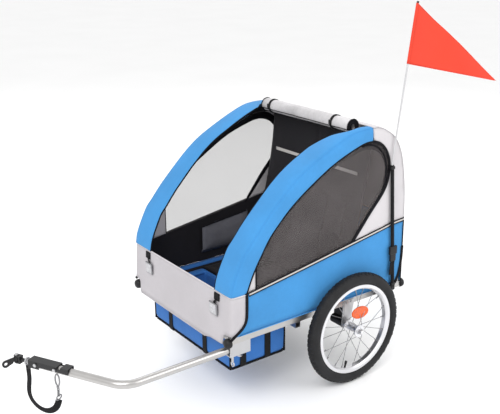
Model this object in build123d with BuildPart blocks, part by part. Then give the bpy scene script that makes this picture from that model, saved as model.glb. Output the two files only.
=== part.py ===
"""Two-seat child bicycle trailer: folding tube frame, fabric body, spoked wheels, tow bar and flag."""

from build123d import *
import math
import os

# Frame of the part: -Y is forwards, +X is the trailer's left side, +Z is up, millimetres.
# The origin is on the floor, in the middle of the whole trailer's footprint.
AXLE_Y = 235.0  # the wheel axles lie this far behind the origin
AXLE_Z = 200.0
WHEEL_X = 336.0  # middle plane of each tyre

# Wheels
TYRE_R = 200.0
TYRE_SECTION_R = 21.5
TYRE_WALL = 2.8
RIM_R = 161.0
RIM_HALF_WIDTH = 14.0
HUB_HALF_WIDTH = 33.0
HUB_FLANGE_R = 21.0
HUB_BARREL_R = 13.0
BEARING_R = 10.0
BEARING_WIDTH = 8.0
SPOKES = 20
SPOKE_R = 1.0
AXLE_R = 6.0
AXLE_FIT = 0.05
BUTTON_R = 4.0
BUTTON_TRAVEL = 3.0

# Base frame
RAIL_X = 285.0
RAIL = 20.0
RAIL_WALL = 1.5
RAIL_Z = 281.0
RAIL_FRONT = AXLE_Y - 485
RAIL_REAR = AXLE_Y + 267
RAIL_TOP = RAIL_Z + RAIL / 2
RAIL_BOTTOM = RAIL_Z - RAIL / 2
CAP_R = 14.0
CAP_LENGTH = 9.0
FRONT_TUBE_Y = AXLE_Y - 462
SEAT_FRONT_Y = AXLE_Y - 214
AXLE_TUBE_Y = AXLE_Y + 12
REAR_TUBE_Y = AXLE_Y + 248

# Side frames: a bent tube loop on each side, hinged to the rails along Y
ARCH_X = 285.0
ARCH_R = 10.0
ARCH_WALL = 1.5
LEFT_PIVOT_Z = 304.0
RIGHT_PIVOT_Z = 334.0  # higher, so that the right side folds down on top of the left
ARCH_FRONT_Y = AXLE_Y - 466
ARCH_REAR_Y = AXLE_Y + 238
ARCH_BENDS = [
    (-466, 425), (-412, 562), (-338, 640), (-228, 741), (-125, 802), (-30, 840),
    (40, 850), (150, 850), (205, 800), (238, 680), (244, 500),
]  # corners of the tube's centre line: distance behind the axle, height
HINGE_BOLT_R = 4.0
KNUCKLE_R = 10.6
KNUCKLE_HALF = 10.7

# Crossbar that spreads the two side frames at the top
CROSSBAR_Y = AXLE_Y + 112
CROSSBAR_Z = 871.0
CROSSBAR_R = 9.0
CROSSBAR_HALF = 288.0

# Fabric body
SKIN = 1.5
WINDOW_X = 296.0
PANEL_X = 297.5
BAND_X = 299.3
BAND_INNER_X = 211.0
OUTLINE = [
    (-479, 434), (-472, 477), (-438, 552), (-413, 584), (-352, 653), (-238, 759), (-136, 819),
    (-20, 870), (39, 882), (92, 882.5),
]  # outer edge of the coloured band in side view: distance behind the axle, height
BAND_EDGE = [
    (-415, 437), (-395, 492), (-325, 606), (-245, 682), (-148, 747), (14, 822), (92, 836),
]  # its inner edge, which borders the window
ROOF_LINE = [(96, 884), (119, 883.5), (158, 868), (205, 832), (237, 770), (255, 681), (262, 532)]
PANEL_HALF = 297.5
WRAP_X = 302.5  # the apron wraps the sides outside the swing of the side panels
PANEL_TOP_Z = 431.0
PANEL_LOW_Z = 252.0
PANEL_SIDE_LOW_Z = 261.0
PANEL_TOP_Y = AXLE_Y - 480
PANEL_LOW_Y = AXLE_Y - 492
SEAT_TOP_Z = 289.0
CUSHION_HALF = 262.0
TUB_HALF = 240.0
TUB_FRONT = AXLE_Y - 449
TUB_REAR = AXLE_Y - 226
TUB_BOTTOM_Z = 145.0
TUB_TOP_Z = 271.0
ROLL_Y = AXLE_Y + 63
ROLL_Z = 879.0
ROLL_R = 26.0
ROLL_HALF = 236.0

# Tow bar
TOW_R = 12.7
TOW_WALL = 1.6
TOW_X = 275.0
TOW_Z = 246.0
TOW_PIVOT_Y = AXLE_Y - 440
TOW_LOCK_Y = AXLE_Y - 464
TOW_CORNER_Y = AXLE_Y - 844
TOW_TURN = 61.6  # degrees from straight ahead, towards the middle
TOW_BEND_R = 75.0
PIN_R = 4.0
COUPLER_FRONT = (-27.0, AXLE_Y - 1006)  # front face of the coupler housing, on the bar's line
COUPLER_LENGTH = 150.0
HITCH_REACH = 56.0  # from that face to the hitch's upright pin
EYE_REACH = 36.0
EYE_DROP = 8.0
EYE_HOLE_R = 5.25
EYE_R = 12.0
EYE_PLATE = 4.0

# Flag
FLAG_X = 308.0
POLE_R = 3.0
SLEEVE_R = 4.5
SLEEVE_BORE = 3.3
SLEEVE_FOOT = (AXLE_Y + 211, 286.0)  # along Y, height
SLEEVE_MOUTH = (AXLE_Y + 180, 740.0)
POLE_TOP = (AXLE_Y + 259, 1274.0)
POLE_DEPTH = 300.0
FLAG_FOOT_Z = 1078.0
FLAG_TIP = (372.0, AXLE_Y + 611, 989.0)

# Safety strap: its centre line, as distance back along the coupler from its front face, height
STRAP = [
    (-14.5, 232), (-14, 211), (-14, 183), (-20, 154), (-21, 127), (-9, 104), (14, 88),
    (43, 84), (70, 96), (88, 117), (95, 140),
]
STRAP_R = 4.5

os.makedirs("parts", exist_ok=True)


def write(part, name):
    """Label a finished piece and write it as one STEP."""
    part.label = name
    export_step(part, f"parts/{name}.step")


def side_point(point, x):
    """A point of a side outline, given as distance behind the axle and height, at x."""
    return Vector(x, AXLE_Y + point[0], point[1])


def bend_radii(points):
    """A large radius for each corner: 0.45 of the shorter run over the half turn's tangent."""
    radii = []
    for before, here, after in zip(points, points[1:], points[2:]):
        first, second = here - before, after - here
        half_turn = math.radians(first.get_angle(second)) / 2
        radii.append(0.45 * min(first.length, second.length) / math.tan(half_turn))
    return radii


def inset(points, distance):
    """The outline's points moved square to it, towards its inside."""
    moved = []
    for i, (y, z) in enumerate(points):
        before, after = points[max(i - 1, 0)], points[min(i + 1, len(points) - 1)]
        run_y, run_z = after[0] - before[0], after[1] - before[1]
        length = math.hypot(run_y, run_z)
        moved.append((y + distance * run_z / length, z - distance * run_y / length))
    return moved


def mirrored(part):
    """The same piece on the other side of the trailer."""
    with BuildPart() as twin:
        add(mirror(part, about=Plane.YZ))
    return twin.part


# ---- Base frame ----
with BuildPart() as rail:
    with BuildSketch(Plane.XZ.offset(-RAIL_FRONT)):
        with Locations((RAIL_X, RAIL_Z)):
            Rectangle(RAIL, RAIL)
            Rectangle(RAIL - 2 * RAIL_WALL, RAIL - 2 * RAIL_WALL, mode=Mode.SUBTRACT)
    extrude(amount=-(RAIL_REAR - RAIL_FRONT))
with BuildPart() as side_rails:
    add(rail.part)
    mirror(about=Plane.YZ)
write(side_rails.part, "side_rails")

with BuildPart() as cross_tubes:
    # The front and rear tubes join the rails' inner faces, the seat tubes pass under the rails.
    for y, z, half in (
        (FRONT_TUBE_Y, RAIL_Z, RAIL_X - RAIL / 2),
        (REAR_TUBE_Y, RAIL_Z, RAIL_X - RAIL / 2),
        (SEAT_FRONT_Y, RAIL_Z - RAIL, RAIL_X + RAIL / 2),
        (AXLE_TUBE_Y, RAIL_Z - RAIL, RAIL_X + RAIL / 2),
    ):
        with BuildSketch(Plane.YZ.offset(-half)):
            with Locations((y, z)):
                Rectangle(RAIL, RAIL)
                Rectangle(RAIL - 2 * RAIL_WALL, RAIL - 2 * RAIL_WALL, mode=Mode.SUBTRACT)
        extrude(amount=2 * half)
write(cross_tubes.part, "cross_tubes")

with BuildPart() as rail_end_caps:
    for x in (-RAIL_X, RAIL_X):
        for y, way in ((RAIL_FRONT, 1), (RAIL_REAR, -1)):
            with BuildSketch(Plane.XZ.offset(-y)):
                with Locations((x, RAIL_Z)):
                    Circle(CAP_R)
            extrude(amount=way * CAP_LENGTH)
            with BuildSketch(Plane.XZ.offset(-y)):
                with Locations((x, RAIL_Z)):
                    Rectangle(RAIL - 2 * RAIL_WALL - 0.2, RAIL - 2 * RAIL_WALL - 0.2)
            extrude(amount=-way * 14)
    fillet(rail_end_caps.edges().filter_by(GeomType.CIRCLE).group_by(Axis.Y)[0], 3)
    fillet(rail_end_caps.edges().filter_by(GeomType.CIRCLE).group_by(Axis.Y)[-1], 3)
write(rail_end_caps.part, "rail_end_caps")

BRACKET_X = RAIL_X + RAIL / 2
BRACKET_PLATE = 3.0
with BuildPart() as axle_bracket:
    with BuildSketch(Plane.YZ.offset(BRACKET_X)):
        with BuildLine():
            Polyline(
                (AXLE_Y - 18, AXLE_Z), (AXLE_Y - 14, RAIL_Z + 7), (AXLE_Y + 36, RAIL_Z + 7),
                (AXLE_Y + 18, AXLE_Z), (AXLE_Y - 18, AXLE_Z),
            )
        make_face()
        with Locations((AXLE_Y, AXLE_Z)):
            Circle(18)
    extrude(amount=BRACKET_PLATE)
    with Locations(Plane.YZ.offset(BRACKET_X)):
        with Locations((AXLE_Y, AXLE_Z)):
            Hole(AXLE_R + 0.3, 2 * BRACKET_PLATE)
        with Locations((AXLE_Y, RAIL_Z), (AXLE_Y + 22, RAIL_Z)):
            Hole(3.1, 2 * BRACKET_PLATE)
with BuildPart() as axle_brackets:
    add(axle_bracket.part)
    mirror(about=Plane.YZ)
write(axle_brackets.part, "axle_brackets")

SOCKET_LENGTH = 62.0
SOCKET_R = 16.0
with BuildPart() as axle_socket:
    with BuildSketch(Plane.YZ.offset(BRACKET_X - SOCKET_LENGTH)):
        with Locations((AXLE_Y, AXLE_Z)):
            Circle(SOCKET_R)
    extrude(amount=SOCKET_LENGTH)
    # A web carries the socket from the seat tube above it.
    with BuildSketch(Plane.YZ.offset(BRACKET_X - SOCKET_LENGTH)):
        with Locations((AXLE_Y + 8, (AXLE_Z + RAIL_BOTTOM - RAIL) / 2)):
            Rectangle(12, RAIL_BOTTOM - RAIL - AXLE_Z)
    extrude(amount=SOCKET_LENGTH)
    with Locations(Plane.YZ.offset(BRACKET_X)):
        with Locations((AXLE_Y, AXLE_Z)):
            Hole(AXLE_R, SOCKET_LENGTH - 6)
with BuildPart() as axle_sockets:
    add(axle_socket.part)
    mirror(about=Plane.YZ)
write(axle_sockets.part, "axle_sockets")

AXLE_INNER_X = BRACKET_X - SOCKET_LENGTH + 6
AXLE_OUTER_X = WHEEL_X + HUB_HALF_WIDTH + 6
BUTTON_BORE = 4.05
with BuildPart() as axle:
    with BuildSketch(Plane.YZ.offset(AXLE_INNER_X)):
        with Locations((AXLE_Y, AXLE_Z)):
            Circle(AXLE_R)
    extrude(amount=AXLE_OUTER_X - AXLE_INNER_X)
    # A collar between bracket and hub keeps the wheel clear of the frame.
    with BuildSketch(Plane.YZ.offset(BRACKET_X + BRACKET_PLATE)):
        with Locations((AXLE_Y, AXLE_Z)):
            Circle(9)
    extrude(amount=WHEEL_X - HUB_HALF_WIDTH - 0.5 - BRACKET_X - BRACKET_PLATE)
    # A washer outside the hub keeps the wheel on.
    with BuildSketch(Plane.YZ.offset(WHEEL_X + HUB_HALF_WIDTH + 0.5)):
        with Locations((AXLE_Y, AXLE_Z)):
            Circle(10)
    extrude(amount=5)
    with Locations(Plane.YZ.offset(AXLE_OUTER_X)):
        with Locations((AXLE_Y, AXLE_Z)):
            Hole(BUTTON_BORE, 60)
with BuildPart() as axles:
    add(axle.part)
    mirror(about=Plane.YZ)
write(axles.part, "axles")

with BuildPart() as left_axle_button:
    with BuildSketch(Plane.YZ.offset(AXLE_OUTER_X - 50)):
        with Locations((AXLE_Y, AXLE_Z)):
            Circle(BUTTON_R)
    extrude(amount=50 + BUTTON_TRAVEL + 0.5)
    with BuildSketch(Plane.YZ.offset(AXLE_OUTER_X + BUTTON_TRAVEL + 0.5)):
        with Locations((AXLE_Y, AXLE_Z)):
            Circle(7)
    extrude(amount=2.5)
    fillet(left_axle_button.edges().filter_by(GeomType.CIRCLE).group_by(Axis.X)[-1], 2)
write(left_axle_button.part, "left_axle_button")
write(mirrored(left_axle_button.part), "right_axle_button")

BOLT_HEAD = 3.5
with BuildPart() as frame_bolts:
    # Two bolts hold each axle bracket to its rail.
    for side in (1, -1):
        for y in (AXLE_Y, AXLE_Y + 22):
            with BuildSketch(Plane.YZ.offset(side * (BRACKET_X + BRACKET_PLATE))):
                with Locations((y, RAIL_Z)):
                    RegularPolygon(5, 6)
            extrude(amount=side * BOLT_HEAD)
            with BuildSketch(Plane.YZ.offset(side * (BRACKET_X + BRACKET_PLATE))):
                with Locations((y, RAIL_Z)):
                    Circle(3)
            extrude(amount=-side * BRACKET_PLATE)
    # One bolt in each hinge bracket is the side frame's pivot.
    for x, z in ((ARCH_X, LEFT_PIVOT_Z), (-ARCH_X, RIGHT_PIVOT_Z)):
        for y in (ARCH_FRONT_Y, ARCH_REAR_Y):
            with BuildSketch(Plane.XZ.offset(-(y - 14))):
                with Locations((x, z)):
                    Circle(HINGE_BOLT_R)
            extrude(amount=-28)
            for end, way in ((y - 14, 1), (y + 14, -1)):
                with BuildSketch(Plane.XZ.offset(-end)):
                    with Locations((x, z)):
                        RegularPolygon(6.5, 6)
                extrude(amount=way * BOLT_HEAD)
write(frame_bolts.part, "frame_bolts")

with BuildPart() as hinge_brackets:
    for x, z in ((ARCH_X, LEFT_PIVOT_Z), (-ARCH_X, RIGHT_PIVOT_Z)):
        for y in (ARCH_FRONT_Y, ARCH_REAR_Y):
            with BuildSketch(Plane.XY.offset(RAIL_TOP)):
                with Locations((x, y)):
                    Rectangle(RAIL, 28)
            extrude(amount=2)
            for ear_y in (y - 14, y + 11):
                with BuildSketch(Plane.XZ.offset(-ear_y)):
                    with Locations((x, (RAIL_TOP + z) / 2)):
                        Rectangle(RAIL, z - RAIL_TOP)
                    with Locations((x, z)):
                        Circle(RAIL / 2)
                        Circle(HINGE_BOLT_R, mode=Mode.SUBTRACT)
                extrude(amount=-3)
write(hinge_brackets.part, "hinge_brackets")

# ---- Side frames ----
def arch_tube(pivot_z):
    """The side frame's bent tube on the left, with a solid knuckle at each foot."""
    corners = [
        Vector(ARCH_X, ARCH_FRONT_Y, pivot_z),
        *[side_point(p, ARCH_X) for p in ARCH_BENDS],
        Vector(ARCH_X, ARCH_REAR_Y, pivot_z),
    ]
    with BuildPart() as tube:
        with BuildLine() as path:
            FilletPolyline(*corners, radius=bend_radii(corners))
        with BuildSketch(Plane(path.line @ 0, z_dir=path.line % 0)):
            Circle(ARCH_R)
            Circle(ARCH_R - ARCH_WALL, mode=Mode.SUBTRACT)
        sweep()
        for y in (ARCH_FRONT_Y, ARCH_REAR_Y):
            with BuildSketch(Plane.XZ.offset(-(y - KNUCKLE_HALF))):
                with Locations((ARCH_X, pivot_z)):
                    Circle(KNUCKLE_R)
            extrude(amount=-2 * KNUCKLE_HALF)
            with BuildSketch(Plane.XZ.offset(-(y - KNUCKLE_HALF))):
                with Locations((ARCH_X, pivot_z)):
                    Circle(HINGE_BOLT_R + AXLE_FIT)
            extrude(amount=-2 * KNUCKLE_HALF, mode=Mode.SUBTRACT)
    return tube.part


write(arch_tube(LEFT_PIVOT_Z), "left_arch_tube")
write(mirrored(arch_tube(RIGHT_PIVOT_Z)), "right_arch_tube")

SADDLE_FIT = 0.35
with BuildPart() as left_saddle:
    # A cradle on the tube's flat top, open upwards, that the crossbar lies in.
    with BuildSketch(Plane.YZ.offset(ARCH_X - 8)):
        with Locations((CROSSBAR_Y, CROSSBAR_Z - 7)):
            Rectangle(27, 24)
        with Locations((CROSSBAR_Y, CROSSBAR_Z)):
            Circle(CROSSBAR_R + SADDLE_FIT, mode=Mode.SUBTRACT)
        with Locations((CROSSBAR_Y, CROSSBAR_Z + 10)):
            Rectangle(2 * (CROSSBAR_R + SADDLE_FIT), 20, mode=Mode.SUBTRACT)
    extrude(amount=16)
    with BuildSketch(Plane.XZ.offset(-(CROSSBAR_Y - 20))):
        with Locations((ARCH_X, 850)):
            Circle(ARCH_R)
    extrude(amount=-40, mode=Mode.SUBTRACT)
write(left_saddle.part, "left_crossbar_saddle")
write(mirrored(left_saddle.part), "right_crossbar_saddle")

with BuildPart() as crossbar:
    with BuildSketch(Plane.YZ.offset(-CROSSBAR_HALF)):
        with Locations((CROSSBAR_Y, CROSSBAR_Z)):
            Circle(CROSSBAR_R)
            Circle(CROSSBAR_R - 1.2, mode=Mode.SUBTRACT)
    extrude(amount=2 * CROSSBAR_HALF)
write(crossbar.part, "crossbar")


# ---- Fabric skins on the side frames ----
def side_skin(outline, x, thickness):
    """A flat fabric skin whose outline is a closed run of side points."""
    with BuildPart() as skin:
        with BuildSketch(Plane.YZ.offset(x)):
            with BuildLine():
                Polyline(*[(AXLE_Y + y, z) for y, z in outline], close=True)
            make_face()
        extrude(amount=thickness)
    return skin.part


WINDOW = [
    (-405, 440), (-360, 552), (-240, 668), (-148, 730), (14, 805), (109, 820), (160, 790),
    (180, 730), (162, 656), (90, 588), (12, 495),
]
left_window = side_skin(WINDOW, WINDOW_X, 1.2)
write(left_window, "left_window")
write(mirrored(left_window), "right_window")

SIDE_PANEL = [
    (-474, 424), (-405, 428), (156, 518), (258, 528), (258, 374), (244, 316), (230, 295),
    (-474, 295),
]
write(side_skin(SIDE_PANEL, PANEL_X, SKIN), "left_side_panel")
# The right panel ends higher, level with its higher pivots, above a skirt on the base.
RIGHT_SIDE_PANEL = [*SIDE_PANEL[:5], (252, 325), (-474, 325)]
write(mirrored(side_skin(RIGHT_SIDE_PANEL, PANEL_X, SKIN)), "right_side_panel")

GUSSET = [
    (96, 838), (150, 846), (200, 798), (236, 680), (246, 530), (156, 520), (14, 500),
    (88, 580), (150, 640), (186, 716), (176, 784), (134, 824),
]
left_gusset = side_skin(GUSSET, PANEL_X, SKIN)
write(left_gusset, "left_gusset")
write(mirrored(left_gusset), "right_gusset")


def strip(outline, inner_x, outer_x):
    """A thin fabric strip that follows a side outline, from inner_x to outer_x."""
    with BuildPart() as cloth:
        with BuildSketch(Plane.YZ.offset(inner_x)):
            outer = [(AXLE_Y + y, z) for y, z in outline]
            inner = [(AXLE_Y + y, z) for y, z in inset(outline, SKIN)]
            with BuildLine():
                Polyline(*outer, *reversed(inner), close=True)
            make_face()
        extrude(amount=outer_x - inner_x)
    return cloth.part


with BuildPart() as left_band:
    add(strip(OUTLINE, BAND_INNER_X, BAND_X + SKIN))
    # The band's side face, from its outer edge to the window.
    with BuildSketch(Plane.YZ.offset(BAND_X)):
        with BuildLine():
            Polyline(
                *[(AXLE_Y + y, z) for y, z in OUTLINE],
                *[(AXLE_Y + y, z) for y, z in reversed(BAND_EDGE)],
                close=True,
            )
        make_face()
    extrude(amount=SKIN)
    # Room for the end of the rolled cover.
    with BuildSketch(Plane.XY.offset(840)):
        with Locations((BAND_INNER_X, ROLL_Y)):
            Rectangle(2 * (ROLL_HALF - BAND_INNER_X) + 4, 2 * ROLL_R + 8)
    extrude(amount=60, mode=Mode.SUBTRACT)
write(left_band.part, "left_band")
write(mirrored(left_band.part), "right_band")

# ---- Fabric body on the base ----
write(strip(ROOF_LINE, -PANEL_HALF, PANEL_HALF), "roof")

with BuildPart() as rear_panel:
    with BuildSketch(Plane.XZ.offset(-(AXLE_Y + 262))):
        with Locations((0, (293 + 528) / 2)):
            Rectangle(2 * PANEL_HALF, 528 - 293)
    extrude(amount=-SKIN)
    # Its right edge runs on forwards as a low skirt under the right side panel.
    with BuildSketch(Plane.YZ.offset(-PANEL_X - SKIN)):
        with Locations((AXLE_Y + (262 + SKIN - 477) / 2, (293 + 324) / 2)):
            Rectangle(262 + SKIN + 477, 324 - 293)
    extrude(amount=SKIN)
write(rear_panel.part, "rear_panel")

with BuildPart() as front_panel:
    # The apron leans forward a little, and its lower corners clear the rails and the tow bar.
    with BuildSketch(Plane.YZ.offset(-WRAP_X - SKIN)):
        with BuildLine():
            Polyline(
                (PANEL_TOP_Y, PANEL_TOP_Z), (PANEL_TOP_Y - 2, PANEL_TOP_Z),
                (PANEL_LOW_Y - 2, PANEL_LOW_Z), (PANEL_LOW_Y, PANEL_LOW_Z), close=True,
            )
        make_face()
    extrude(amount=2 * (WRAP_X + SKIN))
    for side in (1, -1):
        with BuildSketch(Plane.XZ.offset(-(PANEL_LOW_Y - 10))):
            with Locations((side * 250, PANEL_SIDE_LOW_Z - 20)):
                Rectangle(130, 40)
            with Locations((side * (RAIL_X + 6), 270)):
                Rectangle(50, 60)
        extrude(amount=-40, mode=Mode.SUBTRACT)
        # It wraps a hand's width round each side.
        with BuildSketch(Plane.YZ.offset(side * WRAP_X)):
            with BuildLine():
                Polyline(
                    (PANEL_TOP_Y - 1, PANEL_TOP_Z), (AXLE_Y - 412, PANEL_TOP_Z),
                    (AXLE_Y - 420, 350), (AXLE_Y - 452, 304), (AXLE_Y - 489.5, 304), close=True,
                )
            make_face()
        extrude(amount=side * SKIN)
write(front_panel.part, "front_panel")

with BuildPart() as front_reflectors:
    for side in (1, -1):
        with BuildSketch(Plane.XZ.offset(-(PANEL_TOP_Y - 13))):
            with Locations((side * 222, 372)):
                RectangleRounded(42, 42, 4)
        extrude(amount=-5)
write(front_reflectors.part, "front_reflectors")

with BuildPart() as footwell:
    # A soft tub that hangs between the rails for the children's feet.
    with BuildSketch(Plane.XY.offset(TUB_BOTTOM_Z)):
        with Locations((0, (TUB_FRONT + TUB_REAR) / 2)):
            Rectangle(2 * TUB_HALF, TUB_REAR - TUB_FRONT)
    extrude(amount=TUB_TOP_Z - TUB_BOTTOM_Z)
    with BuildSketch(Plane.XY.offset(TUB_BOTTOM_Z + 2)):
        with Locations((0, (TUB_FRONT + TUB_REAR) / 2)):
            Rectangle(2 * TUB_HALF - 4, TUB_REAR - TUB_FRONT - 4)
    extrude(amount=TUB_TOP_Z - TUB_BOTTOM_Z, mode=Mode.SUBTRACT)
write(footwell.part, "footwell")

with BuildPart() as floor_panel:
    with BuildSketch(Plane.XY.offset(TUB_TOP_Z)):
        with Locations((0, (FRONT_TUBE_Y + SEAT_FRONT_Y) / 2)):
            Rectangle(2 * (RAIL_X - RAIL / 2), SEAT_FRONT_Y - FRONT_TUBE_Y - RAIL)
        with Locations((0, (TUB_FRONT + TUB_REAR) / 2)):
            Rectangle(2 * TUB_HALF - 4, TUB_REAR - TUB_FRONT - 4, mode=Mode.SUBTRACT)
    extrude(amount=2)
write(floor_panel.part, "floor_panel")

SEAT_REAR_Y = REAR_TUBE_Y - RAIL / 2
with BuildPart() as seat_board:
    with BuildSketch(Plane.XY.offset(RAIL_BOTTOM)):
        with Locations((0, (SEAT_FRONT_Y - RAIL / 2 + SEAT_REAR_Y) / 2)):
            Rectangle(2 * (RAIL_X - RAIL / 2), SEAT_REAR_Y - SEAT_FRONT_Y + RAIL / 2)
    extrude(amount=4)
write(seat_board.part, "seat_board")

CUSHION_REAR_Y = AXLE_Y + 6
with BuildPart() as seat_cushion:
    with BuildSketch(Plane.XY.offset(RAIL_BOTTOM + 4)):
        with Locations((0, (SEAT_FRONT_Y - RAIL / 2 + CUSHION_REAR_Y) / 2)):
            RectangleRounded(2 * CUSHION_HALF, CUSHION_REAR_Y - SEAT_FRONT_Y + RAIL / 2, 14)
    extrude(amount=SEAT_TOP_Z - RAIL_BOTTOM - 4)
write(seat_cushion.part, "seat_cushion")

BACK_HALF = 268.0
BACK_THICK = 10.0
BACK_FOOT = (AXLE_Y + 8, RAIL_BOTTOM + 4)
BACK_HEAD = (AXLE_Y + 116, 848.0)
with BuildPart() as seat_back:
    with BuildSketch(Plane.YZ.offset(-BACK_HALF)):
        with BuildLine():
            Polyline(
                BACK_FOOT, (BACK_FOOT[0] + BACK_THICK, BACK_FOOT[1]),
                (BACK_HEAD[0] + BACK_THICK, BACK_HEAD[1]), BACK_HEAD, close=True,
            )
        make_face()
    extrude(amount=2 * BACK_HALF)
write(seat_back.part, "seat_back")

HARNESS_THICK = 2.0
BACK_SLOPE = (BACK_HEAD[0] - BACK_FOOT[0]) / (BACK_HEAD[1] - BACK_FOOT[1])
with BuildPart() as harness:
    # On each seat: two shoulder straps down the back, a lap strap and a strap between the legs.
    for seat_x in (-130, 130):
        for strap_x in (seat_x - 48, seat_x + 48):
            with BuildSketch(Plane.YZ.offset(strap_x - 12.5)):
                with BuildLine():
                    y_low = BACK_FOOT[0] + BACK_SLOPE * (310 - BACK_FOOT[1]) - 0.3
                    y_high = BACK_FOOT[0] + BACK_SLOPE * (620 - BACK_FOOT[1]) - 0.3
                    Polyline(
                        (y_low, 310), (y_high, 620), (y_high - HARNESS_THICK, 620),
                        (y_low - HARNESS_THICK, 310), close=True,
                    )
                make_face()
            extrude(amount=25)
        with BuildSketch(Plane.XY.offset(SEAT_TOP_Z)):
            with Locations((seat_x, AXLE_Y - 12)):
                Rectangle(200, 25)
            with Locations((seat_x, AXLE_Y - 95)):
                Rectangle(25, 142)
        extrude(amount=HARNESS_THICK)
        # The buckle joins them.
        with BuildSketch(Plane.XY.offset(SEAT_TOP_Z + HARNESS_THICK)):
            with Locations((seat_x, AXLE_Y - 40)):
                RectangleRounded(44, 40, 8)
        extrude(amount=11)
write(harness.part, "harness")

with BuildPart() as rolled_cover:
    with BuildSketch(Plane.YZ.offset(-ROLL_HALF)):
        with Locations((ROLL_Y, ROLL_Z)):
            Circle(ROLL_R)
    extrude(amount=2 * ROLL_HALF)
    fillet(rolled_cover.edges().filter_by(GeomType.CIRCLE), 3)
write(rolled_cover.part, "rolled_cover")


# ---- Wheels ----
def ring_around_axle(outline, middle_x):
    """A solid of revolution about the axle, from points of (distance from middle_x, radius)."""
    with BuildPart() as ring:
        with BuildSketch(Plane.XY.offset(AXLE_Z)):
            with BuildLine():
                Polyline(*[(middle_x + x, AXLE_Y + r) for x, r in outline], close=True)
            make_face()
        revolve(axis=Axis((middle_x, AXLE_Y, AXLE_Z), (1, 0, 0)))
    return ring.part


with BuildPart() as tyre:
    with BuildSketch(Plane.XY.offset(AXLE_Z)):
        with Locations((WHEEL_X, AXLE_Y + TYRE_R - TYRE_SECTION_R)):
            Circle(TYRE_SECTION_R)
            Circle(TYRE_SECTION_R - TYRE_WALL, mode=Mode.SUBTRACT)
        with Locations((WHEEL_X, AXLE_Y + RIM_R - 20)):
            Rectangle(60, 40, mode=Mode.SUBTRACT)
    revolve(axis=Axis((WHEEL_X, AXLE_Y, AXLE_Z), (1, 0, 0)))

rim = ring_around_axle(
    [
        (-14, RIM_R), (-11.5, RIM_R), (-11.5, RIM_R - 8), (11.5, RIM_R - 8), (11.5, RIM_R),
        (14, RIM_R), (14, RIM_R - 11), (8, RIM_R - 16), (-8, RIM_R - 16), (-14, RIM_R - 11),
    ],
    WHEEL_X,
)

FLANGE_X = 27.0
hub = ring_around_axle(
    [
        (-33, 12), (-29.5, 12), (-29.5, HUB_FLANGE_R), (-24.5, HUB_FLANGE_R),
        (-23, HUB_BARREL_R), (23, HUB_BARREL_R), (24.5, HUB_FLANGE_R), (29.5, HUB_FLANGE_R),
        (29.5, 12), (33, 12),
        (33, BEARING_R), (25, BEARING_R), (25, 8), (-25, 8), (-25, BEARING_R), (-33, BEARING_R),
    ],
    WHEEL_X,
)
bearing_outline = [(0, AXLE_R + AXLE_FIT), (BEARING_WIDTH, AXLE_R + AXLE_FIT),
                   (BEARING_WIDTH, BEARING_R), (0, BEARING_R)]
with BuildPart() as bearings:
    add(ring_around_axle(bearing_outline, WHEEL_X - HUB_HALF_WIDTH))
    add(ring_around_axle(bearing_outline, WHEEL_X + HUB_HALF_WIDTH - BEARING_WIDTH))

SPOKE_HUB_R = HUB_FLANGE_R - 3
SPOKE_RIM_R = RIM_R - 15
with BuildPart() as spokes:
    # Tangent spokes run in turn to the inner and the outer flange.
    for i in range(SPOKES):
        turn = 2 * math.pi * i / SPOKES
        way = 1 if (i // 2) % 2 else -1
        lead = math.radians(62) * way
        flange = (FLANGE_X + 1.7 * way) * (1 if i % 2 else -1)
        foot = Vector(
            WHEEL_X + flange,
            AXLE_Y + SPOKE_HUB_R * math.cos(turn + lead),
            AXLE_Z + SPOKE_HUB_R * math.sin(turn + lead),
        )
        head = Vector(
            WHEEL_X + (4 if i % 2 else -4),
            AXLE_Y + SPOKE_RIM_R * math.cos(turn),
            AXLE_Z + SPOKE_RIM_R * math.sin(turn),
        )
        with BuildSketch(Plane(foot, z_dir=head - foot)):
            Circle(SPOKE_R)
        extrude(amount=(head - foot).length)

REFLECTOR_AT = (AXLE_Y + 17, AXLE_Z + 61)
with BuildPart() as wheel_reflector:
    with BuildSketch(Plane.YZ.offset(WHEEL_X + 7)):
        with Locations(REFLECTOR_AT):
            Ellipse(38, 22, rotation=-16)
    extrude(amount=5)
for side, finish in (("left", lambda p: p), ("right", mirrored)):
    write(finish(tyre.part), f"{side}_tyre")
    write(finish(rim), f"{side}_rim")
    write(finish(hub), f"{side}_hub")
    write(finish(bearings.part), f"{side}_wheel_bearings")
    write(finish(spokes.part), f"{side}_spokes")
    write(finish(wheel_reflector.part), f"{side}_wheel_reflector")

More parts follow.
